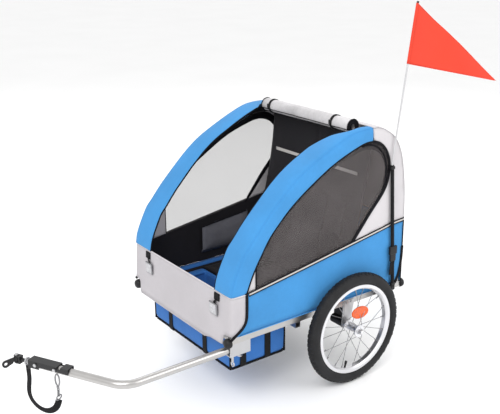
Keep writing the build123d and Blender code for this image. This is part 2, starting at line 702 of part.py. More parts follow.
# ---- Tow bar ----
CHANNEL_WEB_X = 289.0
CHANNEL_PLATE = 3.0
CHANNEL_LOW_Z = 226.0
CHANNEL_FRONT = AXLE_Y - 484
CHANNEL_REAR = AXLE_Y - 406
with BuildPart() as tow_bar_bracket:
    # A channel under the left rail, closed on its outer side and open to the inside.
    with BuildSketch(Plane.XZ.offset(-CHANNEL_FRONT)):
        with BuildLine():
            Polyline(
                (TOW_X - 16, RAIL_BOTTOM), (CHANNEL_WEB_X + CHANNEL_PLATE, RAIL_BOTTOM),
                (CHANNEL_WEB_X + CHANNEL_PLATE, CHANNEL_LOW_Z), (TOW_X - 16, CHANNEL_LOW_Z),
                (TOW_X - 16, CHANNEL_LOW_Z + CHANNEL_PLATE),
                (CHANNEL_WEB_X, CHANNEL_LOW_Z + CHANNEL_PLATE),
                (CHANNEL_WEB_X, RAIL_BOTTOM - CHANNEL_PLATE),
                (TOW_X - 16, RAIL_BOTTOM - CHANNEL_PLATE), close=True,
            )
        make_face()
    extrude(amount=-(CHANNEL_REAR - CHANNEL_FRONT))
    with Locations(Plane.XY.offset(RAIL_BOTTOM)):
        with Locations((TOW_X, TOW_PIVOT_Y), (TOW_X, TOW_LOCK_Y)):
            Hole(PIN_R + 0.1, 60)
write(tow_bar_bracket.part, "tow_bar_bracket")

with BuildPart() as tow_pivot_pin:
    # A pin with a flat head under the rail, two washers round it, and its spring clip below.
    with BuildSketch(Plane.XY.offset(CHANNEL_LOW_Z - 14)):
        with Locations((TOW_X, TOW_PIVOT_Y)):
            Circle(PIN_R)
    extrude(amount=RAIL_BOTTOM - CHANNEL_LOW_Z + 14)
    with BuildSketch(Plane.XY.offset(CHANNEL_LOW_Z + CHANNEL_PLATE)):
        with Locations((TOW_X, TOW_PIVOT_Y)):
            Circle(9)
    extrude(amount=TOW_Z - TOW_R - 0.8 - CHANNEL_LOW_Z - CHANNEL_PLATE)
    with BuildSketch(Plane.XY.offset(TOW_Z + TOW_R + 0.8)):
        with Locations((TOW_X, TOW_PIVOT_Y)):
            Circle(9)
    extrude(amount=RAIL_BOTTOM - CHANNEL_PLATE - TOW_Z - TOW_R - 0.8)
    with BuildSketch(Plane.XZ.offset(-(TOW_PIVOT_Y - 1.25))):
        with Locations((TOW_X, CHANNEL_LOW_Z - 8)):
            Rectangle(30, 2.5)
    extrude(amount=-2.5)
write(tow_pivot_pin.part, "tow_pivot_pin")

LOCK_TOP_Z = TOW_Z - TOW_R - 0.6
LOCK_PIN_LENGTH = 35.0
with BuildPart() as tow_lock_pin:
    # The pull ring is below the bracket even when the pin is pushed in.
    with BuildSketch(Plane.XY.offset(LOCK_TOP_Z - LOCK_PIN_LENGTH)):
        with Locations((TOW_X, TOW_LOCK_Y)):
            Circle(PIN_R)
    extrude(amount=LOCK_PIN_LENGTH)
    with BuildSketch(Plane.XZ.offset(-(TOW_LOCK_Y - 1.5))):
        with Locations((TOW_X, LOCK_TOP_Z - LOCK_PIN_LENGTH - 7)):
            Circle(9)
            Circle(5.5, mode=Mode.SUBTRACT)
    extrude(amount=-3)
write(tow_lock_pin.part, "tow_lock_pin")

turn = math.radians(TOW_TURN)
bar_back = Vector(math.sin(turn), math.cos(turn), 0)  # from the coupler back along the bar
coupler_front = Vector(COUPLER_FRONT[0], COUPLER_FRONT[1], TOW_Z)
bar_front = coupler_front + bar_back * 24
to_corner = (TOW_X - bar_front.X) / bar_back.X
bar_corner = bar_front + bar_back * to_corner
with BuildPart() as tow_bar_tube:
    with BuildLine() as path:
        FilletPolyline(Vector(TOW_X, TOW_PIVOT_Y, TOW_Z), bar_corner, bar_front, radius=TOW_BEND_R)
    with BuildSketch(Plane(path.line @ 0, z_dir=path.line % 0)):
        Circle(TOW_R)
        Circle(TOW_R - TOW_WALL, mode=Mode.SUBTRACT)
    sweep()
    # The rear end is a solid plug, round about the pivot.
    with BuildSketch(Plane.XY.offset(TOW_Z - TOW_R - 0.5)):
        with Locations((TOW_X, TOW_PIVOT_Y)):
            Circle(TOW_R + 0.5)
    extrude(amount=2 * TOW_R + 1)
    with Locations(Plane.XY.offset(TOW_Z + TOW_R + 1)):
        with Locations((TOW_X, TOW_PIVOT_Y)):
            Hole(PIN_R + AXLE_FIT, 4 * TOW_R)
        with Locations((TOW_X, TOW_LOCK_Y)):
            Hole(PIN_R + 0.1, 4 * TOW_R)
write(tow_bar_tube.part, "tow_bar_tube")


def along_coupler(back, side, z):
    """A point at a distance back from the coupler's front face and to its side."""
    across = Vector(-bar_back.Y, bar_back.X, 0)
    spot = coupler_front + bar_back * back + across * side
    return Vector(spot.X, spot.Y, z)


coupler_plane = Plane(coupler_front, x_dir=(-bar_back.Y, bar_back.X, 0), z_dir=bar_back)
WELL_HALF = TOW_R + 0.3
with BuildPart() as coupler_housing:
    # A channel pressed over the bar's end, closed at its front, open below.
    with BuildSketch(coupler_plane):
        Rectangle(2 * WELL_HALF + 5, 2 * WELL_HALF + 5)
    extrude(amount=COUPLER_LENGTH)
    with BuildSketch(coupler_plane.offset(3)):
        Rectangle(2 * WELL_HALF, 2 * WELL_HALF)
        with Locations((0, -WELL_HALF)):
            Rectangle(2 * WELL_HALF + 10, 2 * WELL_HALF - 20)
    extrude(amount=COUPLER_LENGTH, mode=Mode.SUBTRACT)
    # Behind the front hood the cheeks end near the bar's middle.
    with BuildSketch(coupler_plane.offset(40)):
        with Locations((0, -WELL_HALF)):
            Rectangle(2 * WELL_HALF + 10, 2 * WELL_HALF - 4)
    extrude(amount=COUPLER_LENGTH, mode=Mode.SUBTRACT)
    with BuildSketch(coupler_plane.offset(-1)):
        Circle(6.05)
    extrude(amount=6, mode=Mode.SUBTRACT)
    # A notch across the top near its rear end.
    with BuildSketch(coupler_plane.offset(108)):
        with Locations((0, WELL_HALF + 2)):
            Rectangle(2 * WELL_HALF + 10, 12)
    extrude(amount=14, mode=Mode.SUBTRACT)
write(coupler_housing.part, "coupler_housing")

with BuildPart() as coupler_bolts:
    # Bolt heads and nuts on the channel's cheeks, over its two cross bolts.
    for back in (28, 100):
        centre = along_coupler(back, 0, TOW_Z + 4)
        across = Vector(-bar_back.Y, bar_back.X, 0)
        for way in (1, -1):
            start = centre + across * way * (WELL_HALF + 2.5)
            with BuildSketch(Plane(start, z_dir=across * way)):
                RegularPolygon(6, 6)
            extrude(amount=4)
    # A flanged bush in front of the channel, whose flange carries the safety strap.
    with BuildSketch(coupler_plane.offset(-12)):
        Circle(9)
        Circle(6.05, mode=Mode.SUBTRACT)
    extrude(amount=12)
    with BuildSketch(coupler_plane.offset(-17)):
        Circle(13)
        Circle(6.05, mode=Mode.SUBTRACT)
    extrude(amount=5)
write(coupler_bolts.part, "coupler_bolts")

hitch_pin_at = along_coupler(-HITCH_REACH, 0, TOW_Z)
with BuildPart() as hitch_rod:
    # A rod that turns in the coupler's front wall, with a nut behind and a fork at its front.
    with BuildSketch(coupler_plane.offset(-HITCH_REACH + 14)):
        Circle(6)
    extrude(amount=HITCH_REACH - 14 + 12)
    with BuildSketch(coupler_plane.offset(3.4)):
        RegularPolygon(9, 6)
    extrude(amount=8)
    for z in (TOW_Z - 12, TOW_Z + 8):
        with BuildSketch(Plane.XY.offset(z)):
            with Locations((hitch_pin_at.X, hitch_pin_at.Y)):
                Circle(9)
        extrude(amount=4)
        fork_arm = Plane(
            Vector(hitch_pin_at.X, hitch_pin_at.Y, z), x_dir=bar_back, z_dir=(0, 0, 1)
        )
        with BuildSketch(fork_arm):
            with Locations((9, 0)):
                Rectangle(18, 18)
        extrude(amount=4)
        with BuildSketch(fork_arm):
            Circle(PIN_R)
        extrude(amount=4, mode=Mode.SUBTRACT)
    fork_base = Plane(
        along_coupler(-HITCH_REACH + 15, 0, TOW_Z - 12), x_dir=bar_back, z_dir=(0, 0, 1)
    )
    with BuildSketch(fork_base):
        Rectangle(5, 18)
    extrude(amount=24)
write(hitch_rod.part, "hitch_rod")

with BuildPart() as hitch_bolt:
    with BuildSketch(Plane.XY.offset(TOW_Z - 12)):
        with Locations((hitch_pin_at.X, hitch_pin_at.Y)):
            Circle(PIN_R)
    extrude(amount=24)
    for z, way in ((TOW_Z + 12, 1), (TOW_Z - 12, -1)):
        with BuildSketch(Plane.XY.offset(z)):
            with Locations((hitch_pin_at.X, hitch_pin_at.Y)):
                RegularPolygon(6.5, 6)
        extrude(amount=way * 4)
write(hitch_bolt.part, "hitch_bolt")

eye_y = hitch_pin_at.Y - EYE_REACH
eye_z = TOW_Z - EYE_DROP
with BuildPart() as hitch_eye:
    # A barrel on the upright pin and an upright plate with a hole for the bicycle's axle.
    with BuildSketch(Plane.XY.offset(TOW_Z - 7.7)):
        with Locations((hitch_pin_at.X, hitch_pin_at.Y)):
            Circle(8)
    extrude(amount=15.4)
    with BuildSketch(Plane.YZ.offset(hitch_pin_at.X - EYE_PLATE / 2)):
        with BuildLine():
            Polyline(
                (hitch_pin_at.Y, TOW_Z + 7.4), (hitch_pin_at.Y, TOW_Z - 7.4),
                (eye_y, eye_z - EYE_R), (eye_y, eye_z + EYE_R), close=True,
            )
        make_face()
        with Locations((eye_y, eye_z)):
            Circle(EYE_R)
    extrude(amount=EYE_PLATE)
    with Locations(Plane.XY.offset(TOW_Z + 7.7)):
        with Locations((hitch_pin_at.X, hitch_pin_at.Y)):
            Hole(PIN_R + AXLE_FIT, 20)
    with Locations(Plane.YZ.offset(hitch_pin_at.X + EYE_PLATE / 2)):
        with Locations((eye_y, eye_z)):
            Hole(EYE_HOLE_R, 2 * EYE_PLATE)
    # The plate clears the fork's round ears as it swings.
    with BuildSketch(Plane.XY.offset(TOW_Z + 7.7)):
        with Locations((hitch_pin_at.X, hitch_pin_at.Y)):
            Circle(13)
    extrude(amount=30, mode=Mode.SUBTRACT)
    with BuildSketch(Plane.XY.offset(TOW_Z - 7.7)):
        with Locations((hitch_pin_at.X, hitch_pin_at.Y)):
            Circle(13)
    extrude(amount=-30, mode=Mode.SUBTRACT)
write(hitch_eye.part, "hitch_eye")

# ---- Safety strap ----
strap_points = [along_coupler(back, 0, z) for back, z in STRAP]
strap_radii = bend_radii(strap_points)
print("safety strap radii", [round(r) for r in strap_radii])
with BuildPart() as safety_strap:
    with BuildLine() as path:
        FilletPolyline(*strap_points, radius=strap_radii)
    with BuildSketch(Plane(path.line @ 0, z_dir=path.line % 0)):
        Circle(STRAP_R)
    sweep()
strap_length = path.wires()[0].length
print("safety strap length", round(strap_length), "volume", round(safety_strap.part.volume),
      "section times length", round(strap_length * math.pi * STRAP_R**2))
write(safety_strap.part, "safety_strap")

strap_end = strap_points[-1]
with BuildPart() as safety_hook:
    # A slim solid where the strap's ring, its short chain and its snap hook hang.
    with BuildSketch(Plane.XY.offset(strap_end.Z + 1.6)):
        with Locations((strap_end.X, strap_end.Y)):
            Circle(STRAP_R)
    extrude(amount=TOW_Z - TOW_R - 1 - strap_end.Z - 1.6)
write(safety_hook.part, "safety_hook")

# ---- Flag ----
foot = Vector(FLAG_X, *SLEEVE_FOOT)
mouth = Vector(FLAG_X, *SLEEVE_MOUTH)
pole_top = Vector(FLAG_X, *POLE_TOP)
sleeve_up = (mouth - foot).normalized()
pole_foot = mouth - sleeve_up * POLE_DEPTH
kink = mouth + sleeve_up * 16
with BuildPart() as flag_sleeve:
    with BuildSketch(Plane(foot, z_dir=sleeve_up)):
        Circle(SLEEVE_R)
    extrude(amount=(mouth - foot).length)
    with BuildSketch(Plane(pole_foot - sleeve_up * 2, z_dir=sleeve_up)):
        Circle(SLEEVE_BORE)
    extrude(amount=POLE_DEPTH + 10, mode=Mode.SUBTRACT)
    # Its foot is held in a block on the rail.
    with BuildSketch(Plane.XY.offset(RAIL_Z - 6)):
        with Locations(((BRACKET_X + FLAG_X + SLEEVE_R) / 2, SLEEVE_FOOT[0])):
            Rectangle(FLAG_X + SLEEVE_R - BRACKET_X, 16)
    extrude(amount=18)
write(flag_sleeve.part, "flag_sleeve")

with BuildPart() as flag_pole:
    with BuildLine() as path:
        FilletPolyline(pole_foot, kink, pole_top, radius=120)
    with BuildSketch(Plane(path.line @ 0, z_dir=path.line % 0)):
        Circle(POLE_R)
    sweep()
write(flag_pole.part, "flag_pole")

FLAG_THICK = 1.0
flag_foot = kink + (pole_top - kink) * ((FLAG_FOOT_Z - kink.Z) / (pole_top.Z - kink.Z))
flag_tip = Vector(*FLAG_TIP)
pole_up = (pole_top - flag_foot).normalized()
hoist = pole_up * ((pole_top - flag_foot).length - 4)
out = (flag_tip - flag_foot).normalized()
flag_plane = Plane(flag_foot + out * (POLE_R + 0.1), x_dir=out, z_dir=out.cross(pole_up))
with BuildPart() as flag:
    with BuildSketch(flag_plane):
        with BuildLine():
            corners = [
                flag_plane.to_local_coords(v)
                for v in (flag_plane.origin, flag_tip, flag_plane.origin + hoist)
            ]
            Polyline(*[(c.X, c.Y) for c in corners], close=True)
        make_face()
    extrude(amount=FLAG_THICK / 2, both=True)
write(flag.part, "flag")
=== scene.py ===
"""Looks of a child bicycle trailer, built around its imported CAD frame."""

import bmesh
import bpy
import math
from contextlib import contextmanager
from mathutils import Matrix, Vector, noise
from mathutils.geometry import delaunay_2d_cdt


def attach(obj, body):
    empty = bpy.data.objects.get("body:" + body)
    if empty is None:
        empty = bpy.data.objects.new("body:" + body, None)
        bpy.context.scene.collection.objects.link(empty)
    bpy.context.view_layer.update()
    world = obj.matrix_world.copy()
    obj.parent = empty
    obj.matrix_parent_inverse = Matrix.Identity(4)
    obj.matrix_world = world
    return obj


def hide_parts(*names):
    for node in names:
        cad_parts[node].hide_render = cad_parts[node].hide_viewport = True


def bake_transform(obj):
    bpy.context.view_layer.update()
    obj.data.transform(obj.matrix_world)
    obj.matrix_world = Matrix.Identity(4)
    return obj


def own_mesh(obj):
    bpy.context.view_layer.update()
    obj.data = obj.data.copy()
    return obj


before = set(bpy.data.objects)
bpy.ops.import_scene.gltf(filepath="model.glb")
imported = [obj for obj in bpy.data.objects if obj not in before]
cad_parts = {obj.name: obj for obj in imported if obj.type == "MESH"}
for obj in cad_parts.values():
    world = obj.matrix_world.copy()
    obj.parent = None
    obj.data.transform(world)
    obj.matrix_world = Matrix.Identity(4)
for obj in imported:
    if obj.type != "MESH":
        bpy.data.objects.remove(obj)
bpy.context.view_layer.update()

# Lengths below are millimetres. -Y is forwards, +X is the trailer's left, and y in side outlines is
# the distance behind the axle.
MM = 0.001
AXLE_Y = 235.0
AXLE_Z = 200.0
WHEEL_X = 336.0
LEFT, RIGHT = 1, -1
SIDE_NAMES = {LEFT: "left", RIGHT: "right"}
PIVOT_Z = {LEFT: 304.0, RIGHT: 334.0}

OUTLINE = [
    (-485, 433), (-475, 477), (-439, 552), (-413, 584), (-352, 653), (-238, 759), (-136, 819),
    (-20, 870), (39, 882), (92, 882.5),
]
BAND_EDGE = [
    (-426, 430), (-400, 490), (-370, 541), (-325, 606), (-245, 682), (-148, 747), (-69, 790),
    (14, 822), (60, 835), (92, 836),
]
WAIST = [(-415, 428), (-200, 461), (0, 493), (156, 518), (200, 526), (258, 531)]
WINDOW_REAR = [
    (60, 834), (100, 834), (140, 815), (168, 776), (176, 724), (158, 660), (90, 583), (14, 496),
]
GORE_REAR = {LEFT: -386, RIGHT: -358}
STRAP_OUTER = [
    (-335, 600), (-247, 684), (-149, 749), (-70, 792), (14, 824), (60, 837), (100, 835), (139, 815),
    (167, 776), (175, 724), (157, 660), (89, 583), (16, 499),
]
STRAP_INNER = [
    (-332, 594), (-243, 670), (-146, 733), (-68, 774), (12, 801), (56, 811), (92, 808), (126, 792),
    (149, 762), (157, 722), (141, 668), (75, 592), (8, 507),
]
ROOF_EDGE = [
    (92, 884), (119, 883.5), (158, 868), (205, 832), (237, 770), (255, 681), (262, 600), (263, 531),
]
ARCH = [
    (-466, 425), (-412, 562), (-338, 640), (-228, 741), (-125, 802), (-30, 840),
    (40, 850), (150, 850), (205, 800), (238, 680), (244, 500),
]
ARCH_FEET = (-466, 238)
WALL_X = 298.0
WALL_LOW, WAIST_REAR = 294.0, 531
ASIDE, FORWARDS, UPWARDS = Vector((1, 0, 0)), Vector((0, -1, 0)), Vector((0, 0, 1))


# ---- Geometry helpers ----
def smooth(points, step):
    """Points along a Catmull-Rom curve through the given ones, about step apart."""
    points = [Vector(p) for p in points]
    ends = [2 * points[0] - points[1]] + points + [2 * points[-1] - points[-2]]
    dense = []
    for a, b, c, d in zip(ends, ends[1:], ends[2:], ends[3:]):
        for i in range(24):
            t = i / 24
            dense.append(
                0.5 * ((2 * b) + (c - a) * t + (2 * a - 5 * b + 4 * c - d) * t * t
                       + (3 * b - a - 3 * c + d) * t ** 3)
            )
    dense.append(points[-1])
    return evenly(dense, step)


def evenly(points, step=None, count=None):
    """The polyline resampled at equal distances."""
    points = [Vector(p) for p in points]
    lengths = [0.0]
    for a, b in zip(points, points[1:]):
        lengths.append(lengths[-1] + (b - a).length)
    count = count or max(2, round(lengths[-1] / step) + 1)
    out, k = [], 0
    for i in range(count):
        s = lengths[-1] * i / (count - 1)
        while k < len(points) - 2 and lengths[k + 1] < s:
            k += 1
        span = max(lengths[k + 1] - lengths[k], 1e-9)
        out.append(points[k].lerp(points[k + 1], (s - lengths[k]) / span))
    return out


def ease(t):
    """0 to 1, gently at both ends."""
    t = min(max(t, 0.0), 1.0)
    return t * t * (3 - 2 * t)


def ripple(p, size, seed=0.0):
    """Smooth noise between -1 and 1 whose bumps are about size across."""
    return noise.noise(Vector(p) / size + Vector((seed, 2.3 * seed, 1.7 * seed)))


def add_object(name, data):
    """Links new data into the scene as an object."""
    obj = bpy.data.objects.new(name, data)
    bpy.context.scene.collection.objects.link(obj)
    return obj


@contextmanager
def editing(obj):
    """The object's mesh, open for editing."""
    bm = bmesh.new()
    bm.from_mesh(obj.data)
    bm.verts.ensure_lookup_table()
    yield bm
    bm.to_mesh(obj.data)
    bm.free()


def new_object(name, vertices, faces, material):
    """A mesh object from millimetre points."""
    mesh = bpy.data.meshes.new(name)
    mesh.from_pydata([Vector(v) * MM for v in vertices], [], faces)
    mesh.update()
    mesh.shade_smooth()
    mesh.materials.append(material)
    return add_object(name, mesh)


def apply_modifiers(obj):
    """The modifiers' result becomes the object's own mesh."""
    bpy.context.view_layer.update()
    evaluated = obj.evaluated_get(bpy.context.evaluated_depsgraph_get())
    mesh = bpy.data.meshes.new_from_object(evaluated)
    obj.modifiers.clear()
    obj.data = mesh
    return obj


def thicken(obj, thickness, offset=-1.0, levels=0):
    """The sheet as a closed solid of that thickness in millimetres."""
    solid = obj.modifiers.new("thickness", "SOLIDIFY")
    solid.thickness = thickness * MM
    solid.offset = offset
    solid.use_even_offset = True
    if levels:
        round_off = obj.modifiers.new("round", "SUBSURF")
        round_off.levels = levels
        round_off.render_levels = levels
    return apply_modifiers(obj)


def grid(name, rows, material, closed=False):
    """A surface through rows of points, each row as long as the others."""
    width = len(rows[0])
    vertices = [p for row in rows for p in row]
    faces = []
    across = width if closed else width - 1
    for i in range(len(rows) - 1):
        for j in range(across):
            k = (j + 1) % width
            faces.append((i * width + j, i * width + k, (i + 1) * width + k, (i + 1) * width + j))
    return new_object(name, vertices, faces, material)


def patch(name, outline, place, material, spacing):
    """A sheet that fills a flat outline, laid in space by place(u, v, edge distance)."""
    outline = evenly([*outline, outline[0]], spacing)[:-1]
    count = len(outline)
    edges = [(i, (i + 1) % count) for i in range(count)]
    low_u, high_u = min(p[0] for p in outline), max(p[0] for p in outline)
    low_v, high_v = min(p[1] for p in outline), max(p[1] for p in outline)
    inner = []
    v = low_v + spacing / 2
    while v < high_v:
        u = low_u + spacing / 2
        while u < high_u:
            if inside(u, v, outline) and edge_distance(u, v, outline) > spacing * 0.6:
                inner.append(Vector((u, v)))
            u += spacing
        v += spacing
    flat = [Vector((p[0], p[1])) for p in outline] + inner
    points, _, faces, *_ = delaunay_2d_cdt(flat, edges, [], 1, 1e-5)
    placed = [place(p[0], p[1], edge_distance(p[0], p[1], outline)) for p in points]
    return new_object(name, placed, [tuple(f) for f in faces], material)


def inside(u, v, outline):
    """Whether the point lies in the outline."""
    hit = False
    for a, b in zip(outline, [*outline[1:], outline[0]]):
        if (a[1] > v) != (b[1] > v) and u < a[0] + (v - a[1]) * (b[0] - a[0]) / (b[1] - a[1]):
            hit = not hit
    return hit


def edge_distance(u, v, outline):
    """The point's distance from the outline."""
    best = 1e9
    for a, b in zip(outline, [*outline[1:], outline[0]]):
        du, dv = b[0] - a[0], b[1] - a[1]
        t = ((u - a[0]) * du + (v - a[1]) * dv) / max(du * du + dv * dv, 1e-9)
        t = min(max(t, 0.0), 1.0)
        best = min(best, math.hypot(u - a[0] - t * du, v - a[1] - t * dv))
    return best


def section_sweep(name, path, section, up, material, closed=False):
    """A section, as (across, up) offsets, swept along a path with a steady up direction."""
    rows = []
    for i, p in enumerate(path):
        before = path[i - 1] if i or closed else path[0]
        after = path[(i + 1) % len(path)] if i < len(path) - 1 or closed else path[-1]
        along = (Vector(after) - Vector(before)).normalized()
        rise = up(p) if callable(up) else Vector(up)
        rise = (rise - along * rise.dot(along)).normalized()
        across = along.cross(rise)
        rows.append([Vector(p) + across * s[0] + rise * s[1] for s in section])
    if closed:
        rows.append(rows[0])
    obj = grid(name, rows, material, closed=True)
    if not closed:
        with editing(obj) as bm:
            width = len(section)
            bm.faces.new([bm.verts[j] for j in range(width)])
            bm.faces.new([bm.verts[len(bm.verts) - width + j] for j in reversed(range(width))])
            bmesh.ops.recalc_face_normals(bm, faces=bm.faces)
    return obj


def circle(centre, a, b, count):
    """Points round a centre, from the vector a by way of the vector b."""
    turns = [2 * math.pi * k / count for k in range(count)]
    return [centre + a * math.cos(turn) + b * math.sin(turn) for turn in turns]


def round_section(radius, count=12, flatten=1.0):
    """A round, or flattened, section."""
    return circle(Vector((0, 0)), Vector((radius, 0)), Vector((0, flatten * radius)), count)


def strap_section(width, thickness):
    """A flat webbing section with a thicker selvedge along both edges."""
    w, t = width / 2, thickness / 2
    return [
        (-w, -t * 0.6), (-w + 1, -t * 1.3), (-w + 3, -t), (w - 3, -t), (w - 1, -t * 1.3), (w, -t * 0.6),
        (w, t * 0.6), (w - 1, t * 1.3), (w - 3, t), (-w + 3, t), (-w + 1, t * 1.3), (-w, t * 0.6),
    ]


def cord_along(name, points, radius, material, up=(0, 0, 1), flatten=1.0, count=12):
    """A round piping or tube along a path."""
    return section_sweep(name, points, round_section(radius, count, flatten), up, material)


def join(name, objects):
    """Several meshes as one object with the first one's materials and the others' after them."""
    bm = bmesh.new()
    materials = []
    for obj in objects:
        mesh = obj.data.copy()
        mesh.transform(obj.matrix_world)
        slots = []
        for m in mesh.materials:
            if m not in materials:
                materials.append(m)
            slots.append(materials.index(m))
        for polygon in mesh.polygons:
            polygon.material_index = slots[polygon.material_index]
        bm.from_mesh(mesh)
        bpy.data.meshes.remove(mesh)
        bpy.data.objects.remove(obj)
    joined = bpy.data.meshes.new(name)
    bm.to_mesh(joined)
    bm.free()
    for m in materials:
        joined.materials.append(m)
    return add_object(name, joined)


def box_piece(name, size, material, bevel=2.0, at=(0, 0, 0), turn=None, segments=3):
    """A moulded block with rounded edges."""
    bm = bmesh.new()
    bmesh.ops.create_cube(bm, size=1.0)
    bmesh.ops.scale(bm, vec=Vector(size), verts=bm.verts)
    bmesh.ops.bevel(bm, geom=bm.edges[:], offset=bevel, segments=segments, profile=0.6, affect="EDGES")
    if turn is not None:
        bmesh.ops.transform(bm, matrix=turn.to_4x4(), verts=bm.verts)
    bmesh.ops.translate(bm, vec=Vector(at), verts=bm.verts)
    bmesh.ops.scale(bm, vec=Vector((MM, MM, MM)), verts=bm.verts)
    mesh = bpy.data.meshes.new(name)
    bm.to_mesh(mesh)
    bm.free()
    mesh.shade_smooth()
    mesh.materials.append(material)
    return add_object(name, mesh)


def revolve(name, profile, centre, material, axis="X", count=96, closed=True):
    """A ring or disc about an axis, from (along, radius) points."""
    rows = []
    for i in range(count + 1):
        turn = 2 * math.pi * i / count
        row = []
        for along, radius in profile:
            a, b = radius * math.cos(turn), radius * math.sin(turn)
            row.append(Vector(centre) + (Vector((along, a, b)) if axis == "X" else Vector((a, along, b))))
        rows.append(row)
    obj = grid(name, rows, material, closed=closed)
    weld(obj)
    return obj


def weld(obj, distance=0.01):
    """Doubled points become one, and the faces look outwards."""
    with editing(obj) as bm:
        bmesh.ops.remove_doubles(bm, verts=bm.verts, dist=distance * MM)
        bmesh.ops.recalc_face_normals(bm, faces=bm.faces)
    return obj


def row(y, z, x):
    """The point at a distance behind the axle, a height and a place across."""
    return Vector((x, AXLE_Y + y, z))


def across(y, z, half, step):
    """A level line from one side to the other."""
    return [row(y, z, x) for x in range(-half, half + 1, step)]


def lay(points, x):
    """Side outline points at a place across."""
    return [row(p[0], p[1], x) for p in points]


def run_length(path):
    """The length along a path."""
    return sum((b - a).length for a, b in zip(path, path[1:]))


def area_of(*sheets):
    """The area of single-skin sheets in square metres."""
    return sum(face.area for sheet in sheets for face in sheet.data.polygons)


def declare_cloth(obj, width, length, area, held="stretched", rests_on=("side_rails",)):
    """Works out the smaller of a cloth panel's area and the flat size it was cut to, in millimetres, and keeps
    nothing.
    """
    list(rests_on)
    round(min(area, width * length * MM * MM), 5)


def spans(points):
    """The two sides of the box round flat points."""
    return [max(p[i] for p in points) - min(p[i] for p in points) for i in (0, 1)]


def between(table, value):
    """The second number of a table's rows at a value of the first, straight between rows."""
    for (a, at_a), (b, at_b) in zip(table, table[1:]):
        if value <= b:
            return at_a + (at_b - at_a) * max(0.0, value - a) / (b - a)
    return table[-1][1]


def two_tone(obj, second, is_second):
    """Gives the faces whose middle passes the test the second material."""
    obj.data.materials.append(second)
    for face in obj.data.polygons:
        face.material_index = int(is_second(face.center / MM))


# ---- Materials ----


class Surface:
    """A principled material while it is built."""

    def __init__(self, name, colour, roughness, **settings):
        self.colour = colour
        self.material = bpy.data.materials.new(name)
        self.material.use_nodes = True
        self.tree = self.material.node_tree
        self.inputs = self.tree.nodes["Principled BSDF"].inputs
        self.coordinates = self.tree.nodes.new("ShaderNodeTexCoord").outputs["Object"]
        self.feed(self.inputs["Base Color"], (*colour, 1))
        self.feed(self.inputs["Roughness"], roughness)
        for key, value in settings.items():
            self.feed(self.inputs[SHADER_INPUTS[key]], value)

    def feed(self, socket, value):
        """Links a socket into an input, or sets the input to a plain value."""
        if isinstance(value, bpy.types.NodeSocket):
            self.tree.links.new(value, socket)
        else:
            socket.default_value = value

    def node(self, kind, inputs, **settings):
        """Adds a node with its settings and inputs."""
        node = self.tree.nodes.new(f"ShaderNode{kind}")
        for key, value in settings.items():
            setattr(node, key, value)
        for key, value in inputs.items():
            self.feed(node.inputs[key], value)
        return node

    def math(self, operation, *values):
        """A math node over sockets or numbers."""
        return self.node("Math", dict(enumerate(values)), operation=operation).outputs["Value"]

    def total(self, first, *others):
        """The sum of (value, weight) pairs."""
        result = self.math("MULTIPLY", *first)
        for pair in others:
            result = self.math("ADD", result, self.math("MULTIPLY", *pair))
        return result

    def noise(self, scale, detail=3.0, stretch=(1, 1, 1)):
        """A noise texture, stretched along the axes."""
        place = self.node("Mapping", {"Vector": self.coordinates, "Scale": stretch}).outputs["Vector"]
        return self.node("TexNoise", {"Vector": place, "Scale": scale, "Detail": detail}).outputs["Fac"]

    def threads(self, direction, period):
        """Parallel threads across a direction, period metres apart."""
        along = Vector(direction).normalized() * (2 * math.pi / period)
        dot = self.node("VectorMath", {0: self.coordinates, 1: along}, operation="DOT_PRODUCT")
        return self.math("SINE", dot.outputs["Value"])

    def shade(self, value, dark, light, low=0.3, high=0.7):
        """The base colour times dark to light, by a value."""
        ramp = self.node("ValToRGB", {"Fac": value})
        for element, position, factor in zip(ramp.color_ramp.elements, (low, high), (dark, light)):
            element.position = position
            element.color = (*[min(1.0, c * factor) for c in self.colour], 1)
        self.feed(self.inputs["Base Color"], ramp.outputs["Color"])

    def vary_roughness(self, value, low, high):
        """Roughness between two numbers by a value from 0 to 1."""
        spread = self.node("MapRange", {"Value": value, "To Min": low, "To Max": high})
        self.feed(self.inputs["Roughness"], spread.outputs["Result"])

    def bump(self, height, strength, distance):
        """Fine relief."""
        relief = self.node("Bump", {"Height": height, "Strength": strength, "Distance": distance})
        self.feed(self.inputs["Normal"], relief.outputs["Normal"])


SHADER_INPUTS = {
    "metallic": "Metallic", "alpha": "Alpha", "specular": "Specular IOR Level", "sheen": "Sheen Weight",
    "sheen_roughness": "Sheen Roughness", "coat": "Coat Weight", "coat_roughness": "Coat Roughness",
}


def cloth(name, colour, period=0.0014, roughness=0.78, contrast=0.10):
    """Woven fabric: two crossing thread directions, slubs, soft creases and unevenness of the dye."""
    surface = Surface(name, colour, roughness, sheen=0.05, sheen_roughness=0.5, specular=0.25)
    warp = surface.threads((1.0, 0.35, 1.0), period)
    weft = surface.threads((-1.0, 1.0, 0.35), period)
    threads = surface.math("MULTIPLY", warp, weft)
    slubs = surface.noise(260, 2.0, (1.0, 1.0, 0.25))
    dye = surface.noise(7.0, 4.0)
    fine = surface.noise(90.0)
    tone = surface.total((dye, 0.72), (fine, 0.18), (threads, 0.06))
    surface.shade(tone, 1 - contrast, 1 + contrast)
    surface.vary_roughness(dye, roughness - 0.06, roughness + 0.08)
    creases = surface.noise(26.0, 3.0, (1.0, 0.8, 0.45))
    surface.bump(surface.total((threads, 0.5), (slubs, 1.0), (creases, 6.0)), 0.35, 0.0004)
    return surface.material


